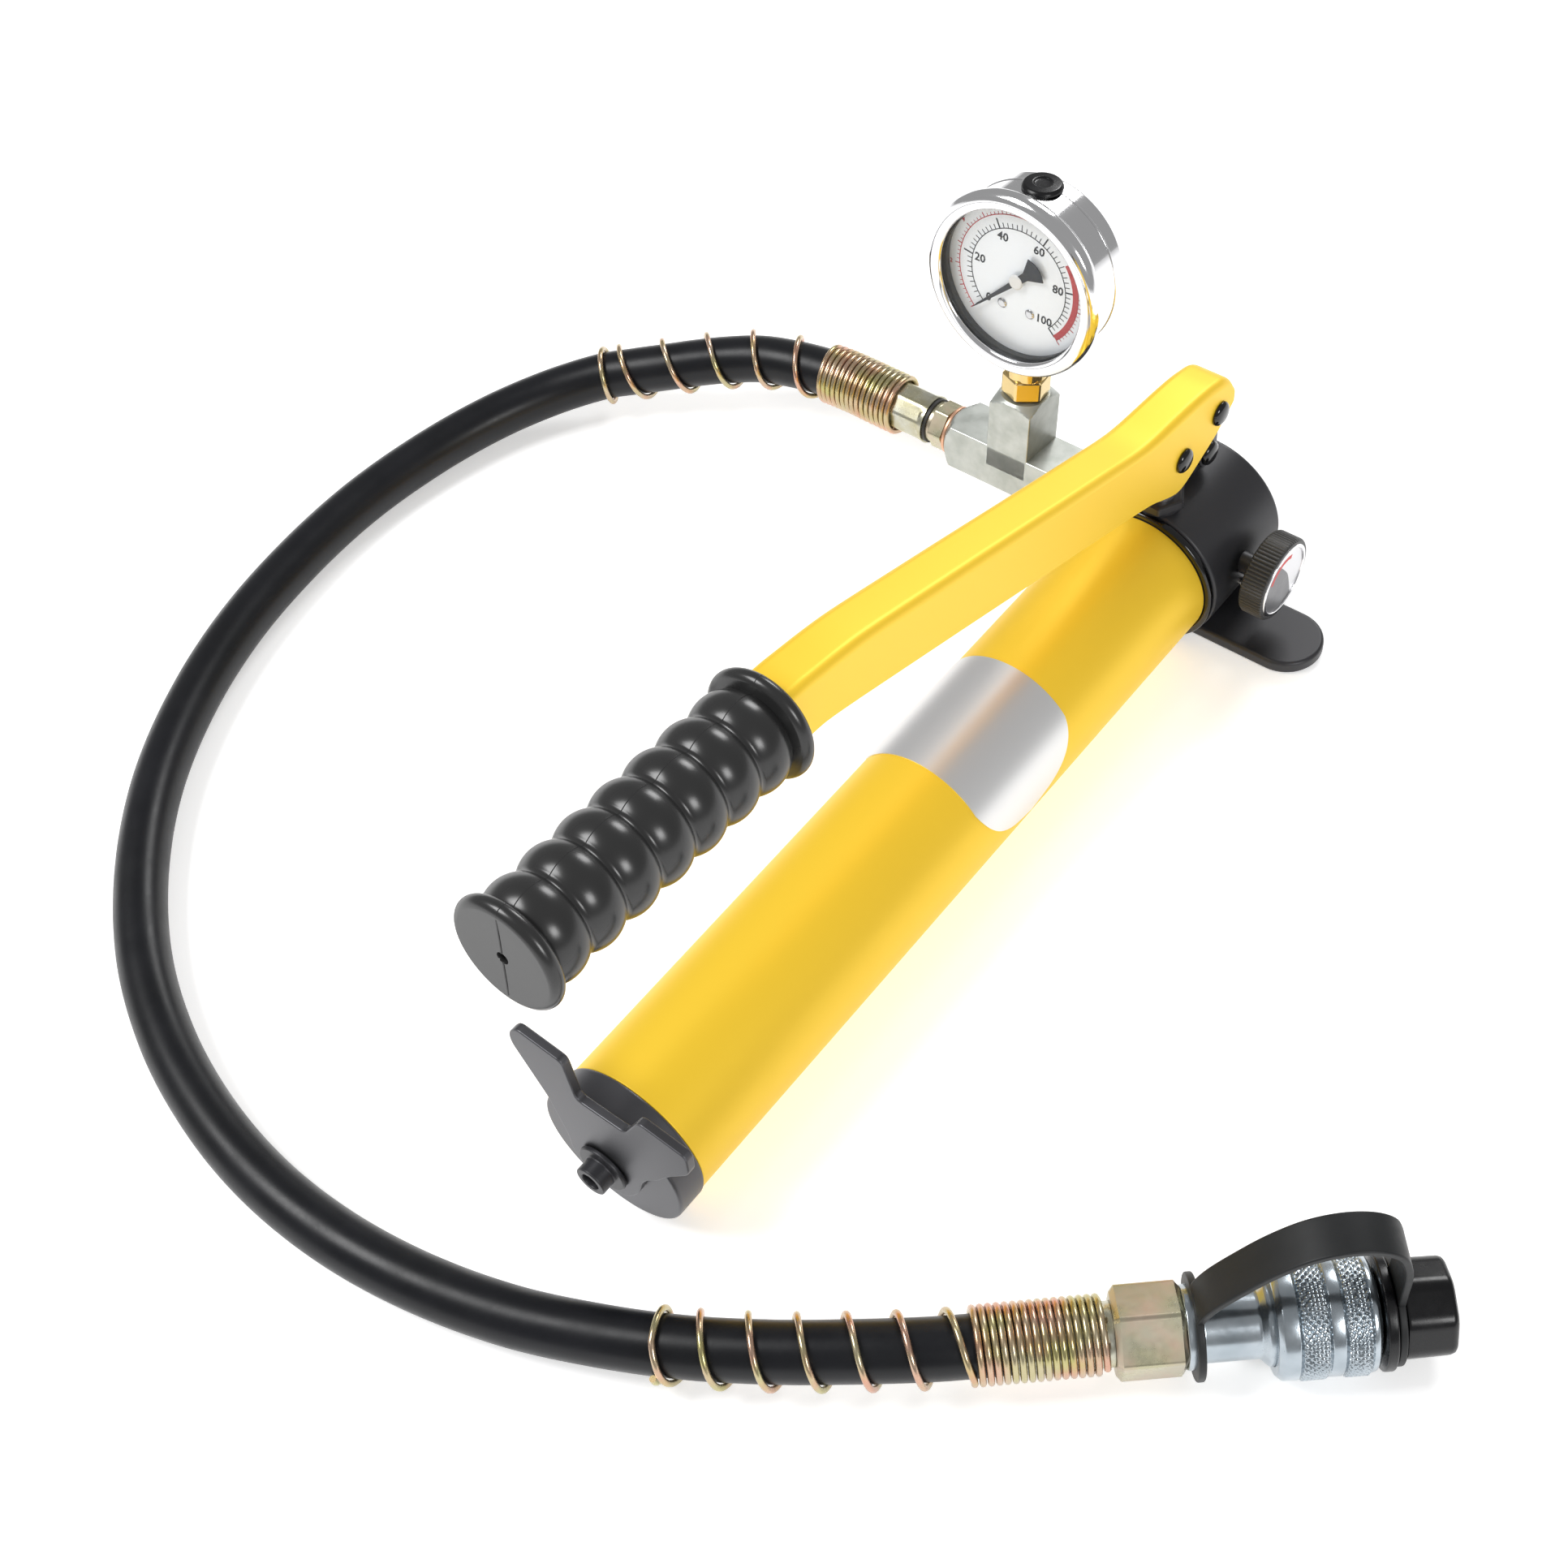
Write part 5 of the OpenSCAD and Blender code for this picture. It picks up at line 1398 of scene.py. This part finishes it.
        return shape.piece("sleeve_knurled", BLUE_ZINC, Body.SLEEVE, ["coupler_sleeve"], "zinc", 50,
                           weighted=False)

    def _cap(self, at: Matrix) -> bpy.types.Object:
        """Rubber dust cap: plug, flange, groove and eight-sided grip."""
        cap = Shape()
        profile = rounded([(0, 97.5), (6.6, 97.5), (6.6, 109.8), (16.2, 109.8), (16.2, 112.8),
                           (11.5, 112.9),
                           (11.5, 115.8), (0, 115.8)], 0.7, 4)
        cap.turn(profile, at, 96)
        corners = rounded(polygon(8, 14.5), 2.6, 5, True)
        rings = []
        for z, share in ((115.5, 0.93), (115.9, 0.985), (116.5, 1.0), (127.6, 0.985), (128.8, 0.955),
                         (129.4, 0.90)):
            rings.append([at @ Vector((c[0] * share, c[1] * share, z)) for c in corners])
        cap.loft(rings)
        return cap.piece("cap_moulded", CAP_RUBBER, Body.CAP, ["dust_cap"], "rubber", 40)

    def _strap(self, at: Matrix) -> bpy.types.Object:
        """Flat rubber band that arches from the neck ring to the ring behind the cap's flange."""
        start, end = 60.8, 114.2
        marks = [(start, 12), (start + 0.8, 15.5), (start + 4, 21.5), (start + 10, 29), (start + 18, 37.5),
                 (start + 27, 44), (start + 36, 46.5), (start + 44, 45.5), (end - 3.5, 41.5),
                 (end - 0.9, 35),
                 (end, 28), (end, 20), (end, 12)]
        line = smooth_line([Vector((s, 0, h)) for s, h in marks], 6)
        section = rounded([(-6, -1.1), (6, -1.1), (6, 1.1), (-6, 1.1)], 0.6, 3, True)
        rings = []
        for i, p in enumerate(line):
            ahead = (line[min(i + 1, len(line) - 1)] - line[max(i - 1, 0)]).normalized()
            out = Vector((-ahead.z, 0, ahead.x))
            rings.append([at @ Vector((-(p + out * t).z, w, (p + out * t).x)) for w, t in section])
        shape = Shape().loft(rings)
        for low, inner, outer in ((59.7, 10.0, 14.8), (113.1, 11.5, 15.1)):
            shape.ring(rounded([(inner, low), (outer, low), (outer, low + 2.2), (inner, low + 2.2)], 0.6,
                               4, True), at, 72)
        strap = shape.piece("strap_band", SOFT_RUBBER, None, ["cap_strap"], "rubber")
        fixed, moved = (tuple((at @ Vector((0, 0, along))) * MM) for along in (75.0, 112.5))
        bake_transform(strap)
        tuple(fixed)
        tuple(moved)
        return strap


# ---------------------------------------------------------------- hidden pieces, camera and light


HIDDEN_FINISHES: dict[str, Finish] = {
    "tail_seal": SEAL, "head_seal": SEAL, "tie_rod": BRIGHT_STEEL, "suction_strainer": BRIGHT_STEEL,
    "inlet_ball": POLISHED, "outlet_ball": POLISHED, "outlet_spring": BRIGHT_STEEL, "plunger_seal": PTFE,
    "release_ball": POLISHED, "gauge_movement": BRASS, "bourdon_tube": BRASS, "sleeve_spring": BRIGHT_STEEL,
    "coupler_balls": POLISHED,
}


def dress_hidden() -> None:
    """Gives the CAD nodes that stay as they are a real finish."""
    for name, finish in HIDDEN_FINISHES.items():
        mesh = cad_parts[name].data
        mesh.materials.clear()
        mesh.materials.append(finish.build())


def make_camera() -> None:
    """Camera in front of the tail, looking down along the pump."""
    data = bpy.data.cameras.new("camera")
    data.sensor_width, data.lens, data.clip_start = 36.0, 53.44, 0.01
    camera = bpy.data.objects.new("camera", data)
    bpy.context.scene.collection.objects.link(camera)
    right = Vector((0.6157, -0.7842, -0.0771))
    up = Vector((0.6454, 0.4458, 0.6203))
    back = right.cross(up)
    camera.matrix_world = Matrix((
        (right.x, up.x, back.x, -0.5001), (right.y, up.y, back.y, -0.2796), (right.z, up.z, back.z, 0.6105),
        (0, 0, 0, 1)))
    bpy.context.scene.camera = camera


def make_stage() -> None:
    """Plain white floor, white surroundings and soft area lights."""
    bm = bmesh.new()
    bmesh.ops.create_grid(bm, x_segments=1, y_segments=1, size=6.0)
    mesh = bpy.data.meshes.new("floor")
    bm.to_mesh(mesh)
    bm.free()
    floor = bpy.data.objects.new("floor", mesh)
    floor.location.z = -0.0004
    bpy.context.scene.collection.objects.link(floor)
    paper = Finish("floor_paper", (0.93, 0.93, 0.93), roughness=0.7, second=(0.93, 0.93, 0.93)).build()
    glow = next(node for node in paper.node_tree.nodes if node.type == "BSDF_PRINCIPLED").inputs
    glow["Emission Color"].default_value = (1.0, 1.0, 1.0, 1.0)
    glow["Emission Strength"].default_value = 0.42
    mesh.materials.append(paper)
    world = bpy.data.worlds.new("world")
    world.use_nodes = True
    world.node_tree.nodes["Background"].inputs[0].default_value = (1.0, 1.0, 1.0, 1.0)
    world.node_tree.nodes["Background"].inputs[1].default_value = 0.36
    bpy.context.scene.world = world
    bpy.context.scene.view_settings.view_transform = "Standard"
    for name, spot, aim, size, power in (
            ("key", (-0.9, 0.9, 1.6), (-0.1, 0.0, 0.05), 0.8, 25.0),
            ("side", (-0.6, -1.4, 1.0), (-0.1, 0.0, 0.05), 0.5, 10.0),
            ("back", (1.4, 0.3, 1.1), (0.0, 0.0, 0.05), 0.6, 12.0)):
        data = bpy.data.lights.new(name, "AREA")
        data.shape, data.size, data.energy = "SQUARE", size, power
        light = bpy.data.objects.new(name, data)
        light.location = spot
        light.rotation_euler = (Vector(aim) - Vector(spot)).to_track_quat("-Z", "Y").to_euler()
        bpy.context.scene.collection.objects.link(light)


def main() -> None:
    """Builds the whole scene."""
    logging.basicConfig(level=logging.INFO)
    make_camera()
    HoseRun().build()
    Reservoir().build()
    PumpHead().build()
    Handle().build()
    Gauge().build()
    dress_hidden()
    make_stage()


if __name__ == "__main__":
    main()
